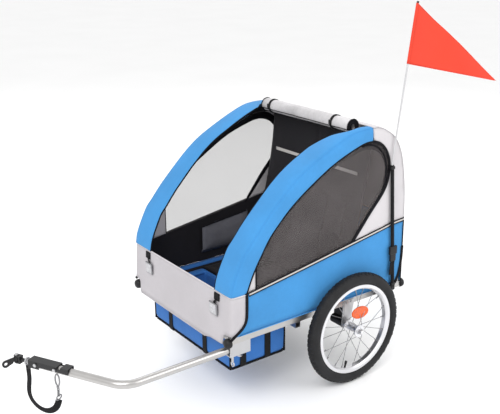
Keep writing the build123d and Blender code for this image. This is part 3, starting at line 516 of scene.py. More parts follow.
def webbing(name, colour):
    """Ribbed strap."""
    surface = Surface(name, colour, 0.7, specular=0.12)
    ribs = surface.threads((1.0, 0.6, 0.8), 0.0022)
    herring = surface.threads((-0.7, 1.0, 0.5), 0.0015)
    surface.shade(surface.noise(180), 0.8, 1.35)
    surface.bump(surface.total((ribs, 1.0), (herring, 0.5)), 0.4, 0.0004)
    return surface.material


def screen(name, colour, alpha):
    """Fine open mesh that is seen through."""
    surface = Surface(name, colour, 0.6, alpha=alpha, specular=0.3)
    warp = surface.threads((0.02, 1.0, 0.02), 0.003)
    weft = surface.threads((0.02, 0.02, 1.0), 0.003)
    threads = surface.math("MAXIMUM", warp, weft)
    surface.shade(surface.total((surface.noise(9.0), 1.0), (threads, 0.02)), 0.85, 1.2)
    surface.bump(threads, 0.04, 0.0002)
    return surface.material


def metal(name, colour, roughness, grain=(1, 1, 1), wear=0.06):
    """Drawn or machined metal with fine lines, smudges and small scratches."""
    surface = Surface(name, colour, roughness, metallic=1.0)
    lines = surface.noise(320, 4.0, grain)
    tone = surface.total((surface.noise(14, 4.0), 0.7), (lines, 0.3))
    surface.shade(tone, 1 - wear, 1 + wear)
    surface.vary_roughness(tone, roughness - 0.08, roughness + 0.1)
    surface.bump(lines, 0.05, 0.0002)
    return surface.material


def moulded(name, colour, roughness, coat=0.0):
    """Moulded plastic or paint with a fine grain and lighter, worn high spots."""
    surface = Surface(name, colour, roughness, specular=0.3, coat=coat, coat_roughness=0.1)
    dust = surface.noise(22, 4.0)
    surface.shade(dust, 0.9, 1.15)
    surface.vary_roughness(dust, roughness - 0.05, roughness + 0.1)
    surface.bump(surface.noise(420), 0.12, 0.0002)
    return surface.material


def rubber(name, colour):
    """Tyre rubber: dull and a little dusty, with a fine grain."""
    surface = Surface(name, colour, 0.62, specular=0.3)
    dust = surface.noise(30, 5.0)
    surface.shade(dust, 0.7, 1.7, 0.35, 0.75)
    surface.vary_roughness(dust, 0.55, 0.75)
    surface.bump(surface.noise(700, 2.0), 0.2, 0.0003)
    return surface.material


def prism(name, colour, period=0.004, coat=0.6):
    """Reflector plastic with rows of prisms under a clear face."""
    surface = Surface(name, colour, 0.22, coat=coat)
    a = surface.threads((0.2, 1.0, 0.58), period)
    b = surface.threads((0.2, -0.5, 0.86), period)
    c = surface.threads((1.0, 0.1, 0.2), period)
    surface.shade(surface.noise(160, 2.0), 0.82, 1.15)
    surface.bump(surface.math("ADD", surface.math("MULTIPLY", a, b), c), 0.35, 0.0006)
    return surface.material


BLUE = cloth("blue_fabric", (0.048, 0.245, 0.54))
# Painted shade: the blue fabric made darker for the footwell tub, the floor cover and the tops of the rail
# covers, which lie deep inside the trailer.
BLUE_PAINTED_SHADE = cloth("blue_fabric_painted_shade", (0.03, 0.14, 0.42))
GREY = cloth("grey_fabric", (0.455, 0.435, 0.455), contrast=0.06)
PALE = cloth("pale_fabric", (0.55, 0.53, 0.545), contrast=0.05)
BLACK = cloth("black_fabric", (0.010, 0.009, 0.012), contrast=0.25)
ROLL = cloth("roll_fabric", (0.50, 0.49, 0.50), roughness=0.5, contrast=0.3)
POCKET = cloth("pocket_fabric", (0.13, 0.13, 0.15), contrast=0.2)
FLAG = cloth("flag_cloth", (0.66, 0.045, 0.020), period=0.0009, roughness=0.6, contrast=0.08)
WEBBING = webbing("webbing", (0.008, 0.008, 0.009))
BINDING = webbing("binding", (0.006, 0.006, 0.008))
REFLECTIVE = cloth("reflective_tape", (0.52, 0.50, 0.48), period=0.003, roughness=0.35, contrast=0.08)
MESH = screen("window_mesh", (0.135, 0.12, 0.12), 0.30)
TUBE = metal("frame_tube", (0.47, 0.46, 0.45), 0.32, (0.15, 0.15, 0.15))
STEEL = metal("bare_steel", (0.50, 0.50, 0.51), 0.36)
WIRE = metal("spoke_wire", (0.28, 0.28, 0.29), 0.42)
ALLOY = metal("rim_alloy", (0.72, 0.72, 0.74), 0.34)
CHROME = metal("chrome", (0.72, 0.72, 0.73), 0.16, wear=0.03)
PLASTIC = moulded("black_plastic", (0.009, 0.009, 0.010), 0.45)
WHITE_PLASTIC = moulded("white_plastic", (0.47, 0.47, 0.48), 0.35)
PAINT = moulded("black_housing", (0.008, 0.008, 0.009), 0.32, coat=0.1)
BOARD = moulded("board", (0.015, 0.015, 0.017), 0.5)
TYRE = rubber("tyre_rubber", (0.009, 0.009, 0.010))
ORANGE = prism("orange_reflector", (0.72, 0.090, 0.003), coat=0.2)
CLEAR = prism("white_reflector", (0.42, 0.42, 0.44), 0.005)


def finish_piece(obj, body=None, replaced=()):
    """Attaches the piece to the body it rides on and hides the CAD nodes it stands for."""
    if replaced:
        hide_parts(*replaced)
    if body:
        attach(obj, body)
    return obj


# ---- CAD pieces that stay as they are get their finish ----
def dress(names, material):
    """A material for carried-over CAD nodes."""
    for name in names:
        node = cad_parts[name]
        node.data.materials.clear()
        node.data.materials.append(material)


def both(*names):
    """The left and right node of each name."""
    return [f"{side}_{name}" for name in names for side in ("left", "right")]


dress(["side_rails", "cross_tubes", "tow_bar_tube", *both("arch_tube")], TUBE)
dress(
    ["axle_brackets", "axles", "frame_bolts", "hinge_brackets", "tow_bar_bracket", "tow_pivot_pin",
     "tow_lock_pin", "coupler_bolts", "hitch_bolt"],
    STEEL,
)
dress(both("rim", "hub"), ALLOY)
dress(both("wheel_bearings", "axle_button"), CHROME)
dress(both("spokes"), WIRE)
dress(["axle_sockets", *both("crossbar_saddle")], PLASTIC)
dress(["coupler_housing", "hitch_rod", "hitch_eye"], PAINT)
dress(["seat_board"], BOARD)
dress(["flag_pole"], WHITE_PLASTIC)


# ---- Fabric on the side frames ----
# The bands' inner edges, as distance behind the axle and |x|. They stand back from the rolled cover.
BAND_REACH = {
    LEFT: [(-485, 212), (-105, 212), (-33, 236), (-12, 258), (8, 276), (61, 271), (92, 273)],
    RIGHT: [(-485, 190), (-300, 200), (-105, 208), (8, 212), (30, 237), (92, 239)],
}
ROLL_Y, ROLL_Z, ROLL_R, ROLL_HALF = 63.0, 879.0, 26.0, 234.0
ROLL_STRAPS = (-190, 150)


class Sewn(list):
    """The parts of one piece, which are joined when it is done."""

    def cord(self, path, radius, material=BINDING, up=(0, 0, 1), flatten=1.0, count=8, closed=False):
        """Adds round piping or wire."""
        section = round_section(radius, count, flatten)
        self.append(section_sweep("cord", path, section, up, material, closed))

    def strap(self, path, width, thickness, up, material=WEBBING, closed=False):
        """Adds flat webbing."""
        section = strap_section(width, thickness)
        self.append(section_sweep("strap", path, section, up, material, closed))

    def block(self, size, bevel, at, material=PLASTIC, turn=None):
        """Adds a moulded block."""
        self.append(box_piece("block", size, material, bevel, at, turn))

    def piece(self, name, slot_name, body=None, replaced=()):
        """The parts as one finished piece."""
        return finish_piece(join(name, self), body, replaced)


def side_sheet(side, name, outline, place, material, spacing, thickness, replaced=()):
    """A cloth panel held by a side's hoop."""
    sheet = patch(f"{SIDE_NAMES[side]}_{name}", outline, place, material, spacing)
    declare_cloth(sheet, *spans(outline), area_of(sheet), rests_on=[f"{SIDE_NAMES[side]}_arch_tube"])
    thicken(sheet, thickness)
    finish_piece(sheet, f"{SIDE_NAMES[side]}_side", replaced)


def band(side):
    """The coloured band: one fabric strip that turns over the frame tube, with its bound edges."""
    name = SIDE_NAMES[side]
    count = 72
    outer = evenly(smooth(OUTLINE, 4), count=count)
    edge = evenly(smooth(BAND_EDGE, 4), count=count)
    rows, hem, crease, lip = [], [], [], []
    for i, (o, e) in enumerate(zip(outer, edge)):
        run = (outer[min(i + 1, count - 1)] - outer[max(i - 1, 0)]).normalized()
        square = Vector((-run.y, run.x))  # out of the trailer
        if square.y < 0:
            square = -square
        inner = between(BAND_REACH[side], o.x)
        reach = 290 - inner
        wave = 1.1 * ripple((i * 9.0, 0, 0), 70, side)
        puff = 2.6 * math.sin(math.pi * i / (count - 1)) + 0.8
        points = []
        for x, rise in (
            (inner + 2.5, -5.0), (inner, -1.5), (inner + 2, 0.2), (inner + 0.18 * reach, puff * 0.5),
            (inner + 0.45 * reach, puff + wave), (inner + 0.72 * reach, puff * 0.9 + wave),
            (inner + 0.95 * reach, puff * 0.3), (294, -0.8), (298.6, -3.6), (300.8, -8.5),
        ):
            small = 0.8 * ripple((i * 8.0, x, 5), 24, 3 + side)
            points.append(row(*(o + square * (rise + small)), side * x))
        start = o - square * 8.5
        for t in (0.25, 0.5, 0.75, 1.0):
            p = start.lerp(e, t)
            bulge = 1.3 * math.sin(math.pi * t) + 0.5 * ripple((p.x, p.y, 9), 45, side)
            points.append(row(*p, side * (300.6 + bulge)))
        points.append(row(e.x - 0.6, e.y - 1.5, side * 299.0))
        rows.append(points)
        hem.append(points[1])
        crease.append(row(*(o + square * -2.4), side * 298.4))
        lip.append(row(*e, side * 300.6))
    sheet = weld(grid("band_cloth", rows, BLUE))
    area = area_of(sheet)
    parts = Sewn([thicken(sheet, 1.6, 0.0, 1)])
    parts.cord(hem, 1.9, flatten=1.5, count=12)
    parts.cord(crease, 1.3, BLUE, flatten=0.9)
    parts.cord(lip, 2.6, flatten=1.2, count=12)
    out = parts.piece(f"{name}_band_sewn", "blue_fabric", f"{name}_side", [f"{name}_band"])
    declare_cloth(out, 150, run_length(outer), area, rests_on=[f"{name}_arch_tube"])
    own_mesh(out)


def window(side):
    """The mesh side window inside its black binding, with the small gore in front of it."""
    name = SIDE_NAMES[side]
    top = [(p[0] - 4, p[1] + 5) for p in BAND_EDGE[:-1]]
    rim = smooth([*top, *WINDOW_REAR[1:]], 10)
    rear = GORE_REAR[side]
    front = next(i for i, p in enumerate(rim) if p.x > rear - 1)

    def place(u, v, edge):
        bulge = 1.8 * ease(edge / 90) + 0.7 * ripple((u, v, 3), 120, side) * ease(edge / 30)
        return row(u, v, side * (296.4 - bulge))

    outline = [*rim[front:], (-200, 463), (rear, 437)]
    side_sheet(side, "window_mesh", outline, place, MESH, 18, 0.6, [f"{name}_window"])
    corner = [*rim[:front + 1], (rear, 437), (-420, 430)]
    side_sheet(
        side, "front_gore", corner, lambda u, v, edge: row(u, v, side * 296.6), PALE, 8, 0.8
    )
    trim = Sewn()
    trim.strap(lay(smooth(WINDOW_REAR, 8), side * 299.4), 9, 1.8, ASIDE, BINDING)
    inner = [(p.x - 13, p.y - 9) for p in smooth(WINDOW_REAR, 8)]
    trim.cord(lay(inner, side * 297.6), 3.0, up=ASIDE, count=12)
    edges = [evenly(smooth(line, 6), count=90) for line in (STRAP_OUTER, STRAP_INNER)]
    strips = [lay([a, a.lerp(b, 0.5), b], side * 295.4) for a, b in zip(*edges)]
    trim.append(thicken(grid("rim_strap", strips, BINDING), 0.6, 0.0))
    upright = [row(rear, z, side * 297.8) for z in range(437, round(between(BAND_EDGE, rear)), 8)]
    trim.cord(upright, 2.2, up=ASIDE, count=12)
    trim.piece(f"{name}_window_binding", "webbing", f"{name}_side")


def gusset(side):
    """The pale fabric behind the window."""
    outer = [(92, 878), (119, 878), (156, 864), (202, 829), (233, 768), (251, 681), (259, 600), (260, 531)]
    outline = [*smooth(outer, 10), (200, 524), (156, 517), (18, 495)]
    outline += reversed(smooth(WINDOW_REAR[1:], 10))

    def place(u, v, edge):
        bulge = 1.6 * ease(edge / 40) + 0.6 * ripple((u, v, 8), 60, side)
        return row(u, v, side * (297.9 + bulge))

    replaced = [f"{SIDE_NAMES[side]}_gusset"]
    side_sheet(side, "gusset_cloth", outline, place, PALE, 12, 1.2, replaced)


def side_panel(side):
    """The lower side wall: cloth outside, a black lining inside, and the piping along the waist."""
    name = SIDE_NAMES[side]
    rear = [(259, 530), (260, 430), (257, 374), (247, 325), (232, WALL_LOW)]
    outline = [(-474, WALL_LOW), (-474, 424), *WAIST[:-1], *smooth(rear, 12)]

    def place(u, v, edge):
        drag = 0.9 * ripple((u * 0.9 + v * 0.5, v * 0.25, 4), 42, side)
        bulge = 1.9 * ease(edge / 60) * math.sin(math.pi * min(1, (v - WALL_LOW) / 200))
        front = ease((u + 470) / 80)
        return row(u, v, side * (WALL_X + (bulge + drag * ease(edge / 25)) * front))

    def place_lining(u, v, edge):
        fold = 1.2 * math.sin(u / 9.0) * ease((v - 320) / 60) * ease(edge / 20)
        rise = 3.5 * ease((v - 390) / 35)
        return row(u, v + rise, side * (295.3 - 0.5 * fold))

    sheet = patch("panel_cloth", outline, place, BLUE, 13)
    area = area_of(sheet)
    parts = Sewn([thicken(sheet, 1.3)])
    lining = patch(f"{name}_wall_lining", outline, place_lining, BLACK, 9)
    seam = smooth(WAIST, 14)
    out_of_wall = (side, 0, 0)
    parts.strap(lay(seam, side * 300.4), 7, 1.6, out_of_wall, REFLECTIVE)
    for lift in (-4.8, 4.8):
        parts.cord([p + Vector((0, 0, lift)) for p in lay(seam, side * 300.6)], 2.1)
    parts.strap([row(p.x - 1, p.y, side * 300.0) for p in smooth(rear[1:], 10)], 11, 2, out_of_wall, BINDING)
    parts.cord([row(u, WALL_LOW + 1, side * 299.2) for u in range(-450, 233, 20)], 1.6, BLUE)
    wall = parts.piece(f"{name}_lower_wall", "blue_fabric", replaced=[f"{name}_side_panel"])
    finish_piece(lining)
    for piece in (wall, lining):
        declare_cloth(piece, *spans(outline), area)
        bend_at_hinge(piece, side)


def bend_at_hinge(obj, side):
    """Fabric sewn to the base below and to the folding side above: bakes its transform into its mesh; the ends
    of the side's hinge line are worked out but not used.
    """
    start, end = [(side * WALL_X * MM, 0.2, (PIVOT_Z[side] + off) * MM) for off in (-12, 8)]
    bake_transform(obj)
    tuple(start)
    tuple(end)


def arch_sleeve(side):
    """The black fabric channel that the frame tube runs through."""
    # The tube's line keeps to its corners as closely as the bends of a tube do.
    runs = [Vector(p) for p in [(ARCH_FEET[0], 345), *ARCH, (239, 345)]]
    bent = [runs[0]]
    for a, b, c in zip(runs, runs[1:], runs[2:]):
        cut = 0.45 * min((b - a).length, (c - b).length)
        p, q = b + (a - b).normalized() * cut, b + (c - b).normalized() * cut
        bent += [p.lerp(b, t).lerp(b.lerp(q, t), t) for t in (0, 0.25, 0.5, 0.75, 1)]
    bent.append(runs[-1])
    path = evenly(bent, 12)
    rows = []
    count = 14
    for i, p in enumerate(path):
        along = (path[min(i + 1, len(path) - 1)] - path[max(i - 1, 0)]).normalized()
        square = Vector((-along.y, along.x))
        ring = []
        for k in range(count):
            turn = 2 * math.pi * k / count
            r = 11.0 + 0.5 * ripple((i * 12, 30 * math.cos(turn), 30 * math.sin(turn)), 30, side)
            ring.append(row(*(p + square * r * math.sin(turn)), side * (285 - min(r, 10.6) * math.cos(turn))))
        rows.append(ring)
    sleeve = grid(f"{SIDE_NAMES[side]}_tube_sleeve", rows, BLACK, closed=True)
    thicken(weld(sleeve), 0.7)
    finish_piece(sleeve, f"{SIDE_NAMES[side]}_side")


for side in (LEFT, RIGHT):
    band(side)
    window(side)
    gusset(side)
    side_panel(side)
    arch_sleeve(side)


# ---- Fabric on the base ----
def fold_down(obj):
    """Gives the object a mesh of its own; nothing here moves it as the left side folds."""
    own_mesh(obj)


def crossbar():
    """The tube across the top of both sides."""
    profile = [
        (-288, 7.4), (-288, 8.5), (-287, 9), (-284, 9), (284, 9), (287, 9), (288, 8.5), (288, 7.4),
    ]
    tube = revolve("crossbar_bar", profile, row(112, 871, 0), TUBE, count=40)
    finish_piece(tube, "base", ["crossbar"])
    fold_down(tube)


def roof():
    """The pale roof and back, one sheet from the crossbar down to the waist at the rear."""
    line = smooth(ROOF_EDGE, 12)
    rows = []
    for i, p in enumerate(line):
        t = i / (len(line) - 1)
        along = (line[min(i + 1, len(line) - 1)] - line[max(i - 1, 0)]).normalized()
        square = Vector((along.y, -along.x))  # into the trailer
        cells = []
        for j in range(41):
            u = -1 + 2 * j / 40
            sag = 5.5 * (1 - u ** 2) * math.sin(math.pi * min(1, t * 1.05)) if t < 1 else 0
            small = 0.9 * ripple((u * 300, p.x, p.y), 55, 6)
            edge = ease((1 - abs(u)) * 12)
            depth = (sag * 0.7 + small) * edge + 3.0 * (1 - ease((1 - abs(u)) * 16))
            cells.append(row(*(p + square * depth), 299.5 * u))
        rows.append(cells)
    sheet = weld(grid("roof_cloth", rows, PALE))
    area = area_of(sheet)
    parts = Sewn([thicken(sheet, 1.4)])
    parts.cord(across(ROOF_EDGE[0][0] + 1, ROOF_EDGE[0][1] - 0.5, 296, 16), 2.0, PALE)
    parts.strap(across(264.2, WAIST_REAR, 296, 16), 10, 1.6, (0, 1, 0), REFLECTIVE)
    for lift in (-7, 7):
        parts.cord(across(264.2, WAIST_REAR + lift, 296, 16), 1.6, up=(0, 1, 0))
    out = parts.piece("roof_sewn", "grey_fabric", "base", ["roof"])
    declare_cloth(out, 600, run_length(line), area, rests_on=both("arch_tube"))
    fold_down(out)


def rear_wall():
    """The lower rear wall with a soft rounded turn into both sides, and the skirt of the right rail."""
    outline = [(-299, WALL_LOW), (299, WALL_LOW), (299, 529), (-299, 529)]

    def place(u, v, edge):
        turn = 6.0 * (1 - ease((299 - abs(u)) / 14))
        drag = 1.2 * ripple((u, v * 0.4, 2), 70, 2) * ease(edge / 30)
        return row(264.4 - turn + drag, v, u)

    sheet = patch("rear_wall_cloth", outline, place, BLUE, 16)
    area = area_of(sheet)
    parts = Sewn([thicken(sheet, 1.4, 0.0)])
    parts.cord(across(264, WALL_LOW + 1, 290, 20), 2.0)
    for x in (-299, 299):
        parts.cord([row(259, z, x) for z in range(296, 529, 12)], 2.2, up=(0, 1, 0))
    strip = [(-474, 293), (255, 293), (255, 326), (-474, 326)]
    skirt = patch("skirt_cloth", strip, lambda u, v, edge: row(u, v, -WALL_X), BLUE, 16)
    parts.append(thicken(skirt, 1.2, 0.0))
    out = parts.piece("rear_wall_sewn", "blue_fabric", "base", ["rear_panel"])
    declare_cloth(out, *spans(outline), area)
    fold_down(out)


APRON_CORNER, APRON_HALF = 8.0, 303.4
APRON_TOP, APRON_HEIGHT = 431, 179
APRON_TOP_Y, APRON_LOW_Y = -482.0, -493.0


def apron_plan(s, z):
    """A point of the apron: s runs along its plan line, from the middle of the front to the wraps."""
    front = APRON_TOP_Y + (APRON_LOW_Y - APRON_TOP_Y) * (APRON_TOP - z) / APRON_HEIGHT
    way = 1 if s >= 0 else -1
    beyond = abs(s) - (APRON_HALF - APRON_CORNER)
    if beyond <= 0:
        return row(front, z, s)
    a = beyond / APRON_CORNER
    if a <= math.pi / 2:
        aside = APRON_HALF - APRON_CORNER + APRON_CORNER * math.sin(a)
        return row(front + APRON_CORNER * (1 - math.cos(a)), z, way * aside)
    return row(front + APRON_CORNER + beyond - APRON_CORNER * math.pi / 2, z, way * APRON_HALF)


def apron_length(y, z):
    """The plan length at which a wrap reaches a distance behind the axle."""
    front = APRON_TOP_Y + (APRON_LOW_Y - APRON_TOP_Y) * (APRON_TOP - z) / APRON_HEIGHT
    return APRON_HALF - APRON_CORNER * (2 - math.pi / 2) + y - front


def apron():
    """The grey apron across the front, its wraps, binding, reflector tabs and reflectors."""
    wrap = [(300, 304)]
    wrap += [(apron_length(y, z), z) for y, z in ((-468, 306), (-433, 334), (-428, 360), (-427, APRON_TOP))]
    wrap.append((294, APRON_TOP))
    # On the left the lower edge clears the tow bar, which swings under it.
    lower_left = [(0, 253), (165, 254), (192, 262), (262, 264), (267, 300)]
    lower_right = [(-267, 300), (-262, 254)]
    outline = [*lower_left, *wrap, (0, APRON_TOP), *[(-u, v) for u, v in reversed(wrap)], *lower_right]

    def place(u, v, edge):
        p = apron_plan(u, v)
        slack = 2.2 * ripple((u, v * 0.7, 1), 150, 5) + 0.8 * ripple((u, v, 1), 45, 6)
        p.y -= slack * ease(edge / 45) * (1 if abs(u) < 280 else 0)
        return p

    sheet = patch("apron_cloth", outline, place, GREY, 12)
    area = area_of(sheet)
    parts = Sewn([thicken(sheet, 1.4, 0.0)])
    parts.cord([apron_plan(s, APRON_TOP + 0.5) for s in range(-350, 351, 5)], 2.2, PALE)
    parts.cord([apron_plan(s, 254) for s in range(-258, 163, 14)], 1.8, GREY)
    edge = smooth([(-427, 436), (-427, 390), (-430, 345), (-444, 322), (-470, 304), (-489, 292)], 10)
    for way in (1, -1):
        parts.strap(lay(edge, way * 304.2), 11, 2.2, (way, 0, 0), BINDING)
    cloth_piece = parts.piece("apron_sewn", "grey_fabric", "base", ["front_panel"])
    declare_cloth(cloth_piece, *spans(outline), area)

    tabs, lenses = Sewn(), Sewn()
    face = APRON_TOP_Y - 3.5
    lean = Matrix.Rotation(math.radians(3.5), 3, "X")
    for x, hang in ((-206, -192), (226, 214)):
        tabs.strap([row(face - 0.3 - 0.35 * i, 426 - 6 * i, x) for i in range(5)], 28, 3.0, FORWARDS)
        hanger = [row(face - 3, 407, x), row(face - 4.5, 398, (x + hang) / 2), row(face - 5, 390, hang)]
        tabs.strap(hanger, 9, 1.4, FORWARDS)
        at = row(face - 7, 371, hang)
        lenses.block((42, 5, 42), 2.0, at, WIRE, lean)
        lenses.block((35, 3, 35), 1.2, at - Vector((0, 2.4, 0)), CLEAR, lean)
    tab_piece = tabs.piece("reflector_tabs", "webbing", "base")
    lens_piece = lenses.piece("front_reflector_pair", "white_reflector", "base", ["front_reflectors"])
    for piece in (cloth_piece, tab_piece, lens_piece):
        fold_down(piece)


TUB_FRONT, TUB_REAR, TUB_HALF, TUB_LOW, TUB_HIGH = -449.0, -226.0, 240.0, 145.0, 272.0
TUB_MIDDLE = (TUB_FRONT + TUB_REAR) / 2


def rounded_ring(half, front, rear, corner, z):
    """A level ring with rounded corners, as points in the row frame."""
    arcs = []
    for cx, cy, start in (
        (half - corner, rear - corner, 0), (-half + corner, rear - corner, 90),
        (-half + corner, front + corner, 180), (half - corner, front + corner, 270),
    ):
        turns = [math.radians(start + 15 * i) for i in range(7)]
        arcs.append([row(cy + corner * math.sin(a), z, cx + corner * math.cos(a)) for a in turns])
    ring = []
    for arc, following, steps in zip(arcs, [*arcs[1:], arcs[0]], (30, 14, 30, 14)):
        ring += arc + [arc[-1].lerp(following[0], k / steps) for k in range(1, steps)]
    return ring


def tub_skin(inset, low, slack):
    """One skin of the tub, whose walls give a little, with its bottom."""
    levels = 14
    rows = []
    for k in range(levels + 1):
        t = k / levels
        tuck = inset + 9 * ease((t - 0.88) / 0.12)
        z = TUB_HIGH + (low - TUB_HIGH) * t
        ring = rounded_ring(TUB_HALF - tuck, TUB_FRONT + tuck, TUB_REAR - tuck, 9, z)
        for p in ring:
            aside = p.x / TUB_HALF
            behind = (p.y - AXLE_Y - TUB_MIDDLE) / ((TUB_REAR - TUB_FRONT) / 2)
            push = slack * math.sin(math.pi * t) * (0.35 + 0.5 * ripple(p, 60, 4))
            if abs(aside) > abs(behind):
                p.x += math.copysign(push, aside)
            else:
                p.y += math.copysign(push, behind)
        rows.append(ring)
    # The tub's skins take the blue with painted shade.
    obj = grid("tub_skin", rows, BLUE_PAINTED_SHADE, closed=True)
    with editing(obj) as bm:
        width = len(rows[0])
        face = bm.faces.new([bm.verts[levels * width + j] for j in range(width)])
        bmesh.ops.triangulate(bm, faces=[face])
        bmesh.ops.recalc_face_normals(bm, faces=bm.faces)
    return thicken(obj, 1.3, 0.0)


def footwell():
    """The hanging tub: two skins, with bound edges and straps."""
    parts = Sewn([tub_skin(0.5, TUB_LOW, 3.0)])
    inner = tub_skin(4.5, TUB_LOW + 4, 0.8)
    bottom = rounded_ring(TUB_HALF - 3, TUB_FRONT + 3, TUB_REAR - 3, 9, TUB_LOW + 2.5)
    parts.cord(bottom, 4.0, closed=True)
    for side in (RIGHT, LEFT):
        for y in (TUB_FRONT + 1.6, TUB_REAR - 1.6):
            line = [row(y, z, side * (TUB_HALF - 1.0)) for z in range(148, 271, 10)]
            parts.cord(line, 4.2, up=(0, 1, 0))
    for x in (-126, 93):
        path = [row(TUB_FRONT - 3.2, z, x) for z in range(270, 150, -12)]
        path += [row(TUB_FRONT - 0.5, 144, x), row(TUB_FRONT + 8, 141.5, x)]
        path += [row(y, 141.5, x) for y in range(-430, -240, 20)]
        path += [row(TUB_REAR - 8, 141.5, x), row(TUB_REAR + 0.5, 144, x)]
        path += [row(TUB_REAR + 3.2, z, x) for z in range(156, 251, 12)]
        parts.strap(path, 24, 1.8, tub_out)
    for side in (RIGHT, LEFT):
        for y in (-300, -400):
            line = [row(y, z, side * (TUB_HALF + 3)) for z in range(270, 148, -12)]
            parts.strap(line, 24, 1.8, (side, 0, 0))
    parts.append(inner)
    parts.piece("footwell_sewn", "blue_fabric", "base", ["footwell"])


def tub_out(p):
    """The direction out of the tub at a strap's point."""
    forwards = -1 if p.y - AXLE_Y < TUB_MIDDLE else 1
    if p.z > 148:
        return Vector((0, forwards, 0))
    if p.z > 143:
        return Vector((0, forwards, -1)).normalized()
    return Vector((0, 0, -1))


def floor_cover():
    """The blue floor cloth round the footwell, and the strips over the rails."""
    inner = rounded_ring(TUB_HALF - 5, TUB_FRONT + 6, TUB_REAR - 4, 8, 276)
    rows = []
    for t, lift in ((0, -8), (0.0, 0), (0.2, 2.5), (0.6, 3.0), (1.0, -1.0)):
        ring = []
        for p in inner:
            out_y = TUB_MIDDLE + (p.y - AXLE_Y - TUB_MIDDLE) * (1 + 0.07 * t)
            ring.append(row(out_y, 274 + lift + 0.7 * ripple((p.x, p.y, 0), 40, 7), p.x * (1 + 0.16 * t)))
        rows.append(ring)
    # The floor cover takes the blue with painted shade.
    cover = weld(grid("floor_cover_ring", rows, BLUE_PAINTED_SHADE, closed=True))
    area = area_of(cover)
    thicken(cover, 1.4, 0.0)
    finish_piece(cover, "base", ["floor_panel"])
    declare_cloth(cover, *spans(rows[-1]), area, "laid")
    turnover = [(266, 276), (271.5, 279), (272.4, 285), (273.5, 291), (277, 293.6), (294.6, 293.6)]
    for side in (LEFT, RIGHT):
        lines = [[row(y, z, side * x) for x, z in turnover] for y in range(-470, -4, 15)]
        strip = grid(f"{SIDE_NAMES[side]}_rail_cover", lines, BLACK)
        # The strips' tops take the blue with painted shade.
        two_tone(strip, BLUE_PAINTED_SHADE, lambda p: p.z > 285)
        area = area_of(strip)
        thicken(strip, 1.0, 0.0)
        finish_piece(strip, "base")
        declare_cloth(strip, 40, 465, area)


def pillow(name, half_x, half_y, thickness, tufts, cells):
    """A crowned closed pad about the origin: sides pull in between corners, tufts(u, v) sinks seams."""
    nx, ny = cells
    top, under = [], []
    for j in range(ny + 1):
        v = -1 + 2 * j / ny
        for sheet, way in ((top, 1), (under, -1)):
            cells_row = []
            for i in range(nx + 1):
                u = -1 + 2 * i / nx
                pull = 1 - 0.014 * (1 - u * u) * abs(v) ** 6
                pull_x = 1 - 0.010 * (1 - v * v) * abs(u) ** 6
                crown = (1 - abs(u) ** 7) ** 0.5 * (1 - abs(v) ** 5) ** 0.5
                lift = thickness / 2 * crown * (tufts(u, v) if way > 0 else 0.75)
                small = 0.5 * ripple((u * half_x, v * half_y, 0), 28, 4) * crown * (way > 0)
                cells_row.append(Vector((u * half_x * pull_x, v * half_y * pull, way * lift + small)))
            sheet.append(cells_row)
    upper = grid("pad_top", top, BLACK)
    lower = grid("pad_under", [list(reversed(r)) for r in under], BLACK)
    return weld(join(name, [upper, lower]), 0.05)


def puff_up(obj, cap):
    """Inflates a closed pad as cloth, within cap millimetres of its shape."""
    start = [v.co.copy() for v in obj.data.vertices]
    sim = obj.modifiers.new("cloth", "CLOTH")
    for key, value in (
        ("quality", 6), ("mass", 0.2), ("tension_stiffness", 25), ("compression_stiffness", 25),
        ("shear_stiffness", 8), ("bending_stiffness", 0.8), ("use_pressure", True),
        ("uniform_pressure_force", 4.0),
    ):
        setattr(sim.settings, key, value)
    sim.settings.effector_weights.gravity = 0
    sim.point_cache.frame_start = 1
    sim.point_cache.frame_end = CLOTH_FRAMES
    for number in range(1, CLOTH_FRAMES + 1):
        bpy.context.scene.frame_set(number)
    apply_modifiers(obj)
    for vertex, before in zip(obj.data.vertices, start):
        moved = vertex.co - before
        if moved.length > cap * MM:
            vertex.co = before + moved.normalized() * cap * MM
    bpy.context.scene.frame_set(1)


def groove(distance, width):
    """1 in the middle of a seam, falling to 0 beside it."""
    return math.exp(-(distance / width) ** 2)


def seat():
    """The bench cushion with a channel between the two places and a bound edge."""
    half_x, half_y = 262.0, 114.0

    def tufts(u, v):
        middle = 1 - 0.55 * groove(u * half_x, 7)
        cross = 1 - 0.3 * groove((abs(u) - 0.5) * half_x, 6)
        front = 1 - 0.35 * groove((v + 0.72) * half_y, 5)
        return 0.9 * middle * cross * front

    cushion = pillow("seat_cushion_pad", half_x, half_y, 15, tufts, (66, 30))
    place_at(cushion, Matrix.Translation(row(-109, 282.4, 0) * MM))
    puff_up(cushion, 1.5)
    finish_piece(cushion, "base", ["seat_cushion"])
    trim = cord_along("seat_front_piping", across(-223, 281, 254, 14), 2.4, BINDING, count=8)
    finish_piece(trim, "base")


def place_at(obj, matrix):
    """Moves the object's own points."""
    obj.data.transform(matrix)
    obj.data.update()


BACK_FOOT, BACK_HEAD = Vector((8.0, 275.0)), Vector((116.0, 848.0))
CLOTH_FRAMES = 20
POLE_X = 308


def back_sag(share):
    """How far the sling gives rearwards at a share of its height."""
    return 100 * share * share * (1 - share)


def back_point(x, height, off):
    """A point on the seat back's front at a height, off millimetres in front of it."""
    t = (height - BACK_FOOT.y) / (BACK_HEAD.y - BACK_FOOT.y)
    run = (BACK_HEAD - BACK_FOOT).normalized()
    p = BACK_FOOT.lerp(BACK_HEAD, t) + Vector((-run.y, run.x)) * (off - back_sag(t))
    return row(p.x, p.y, x)


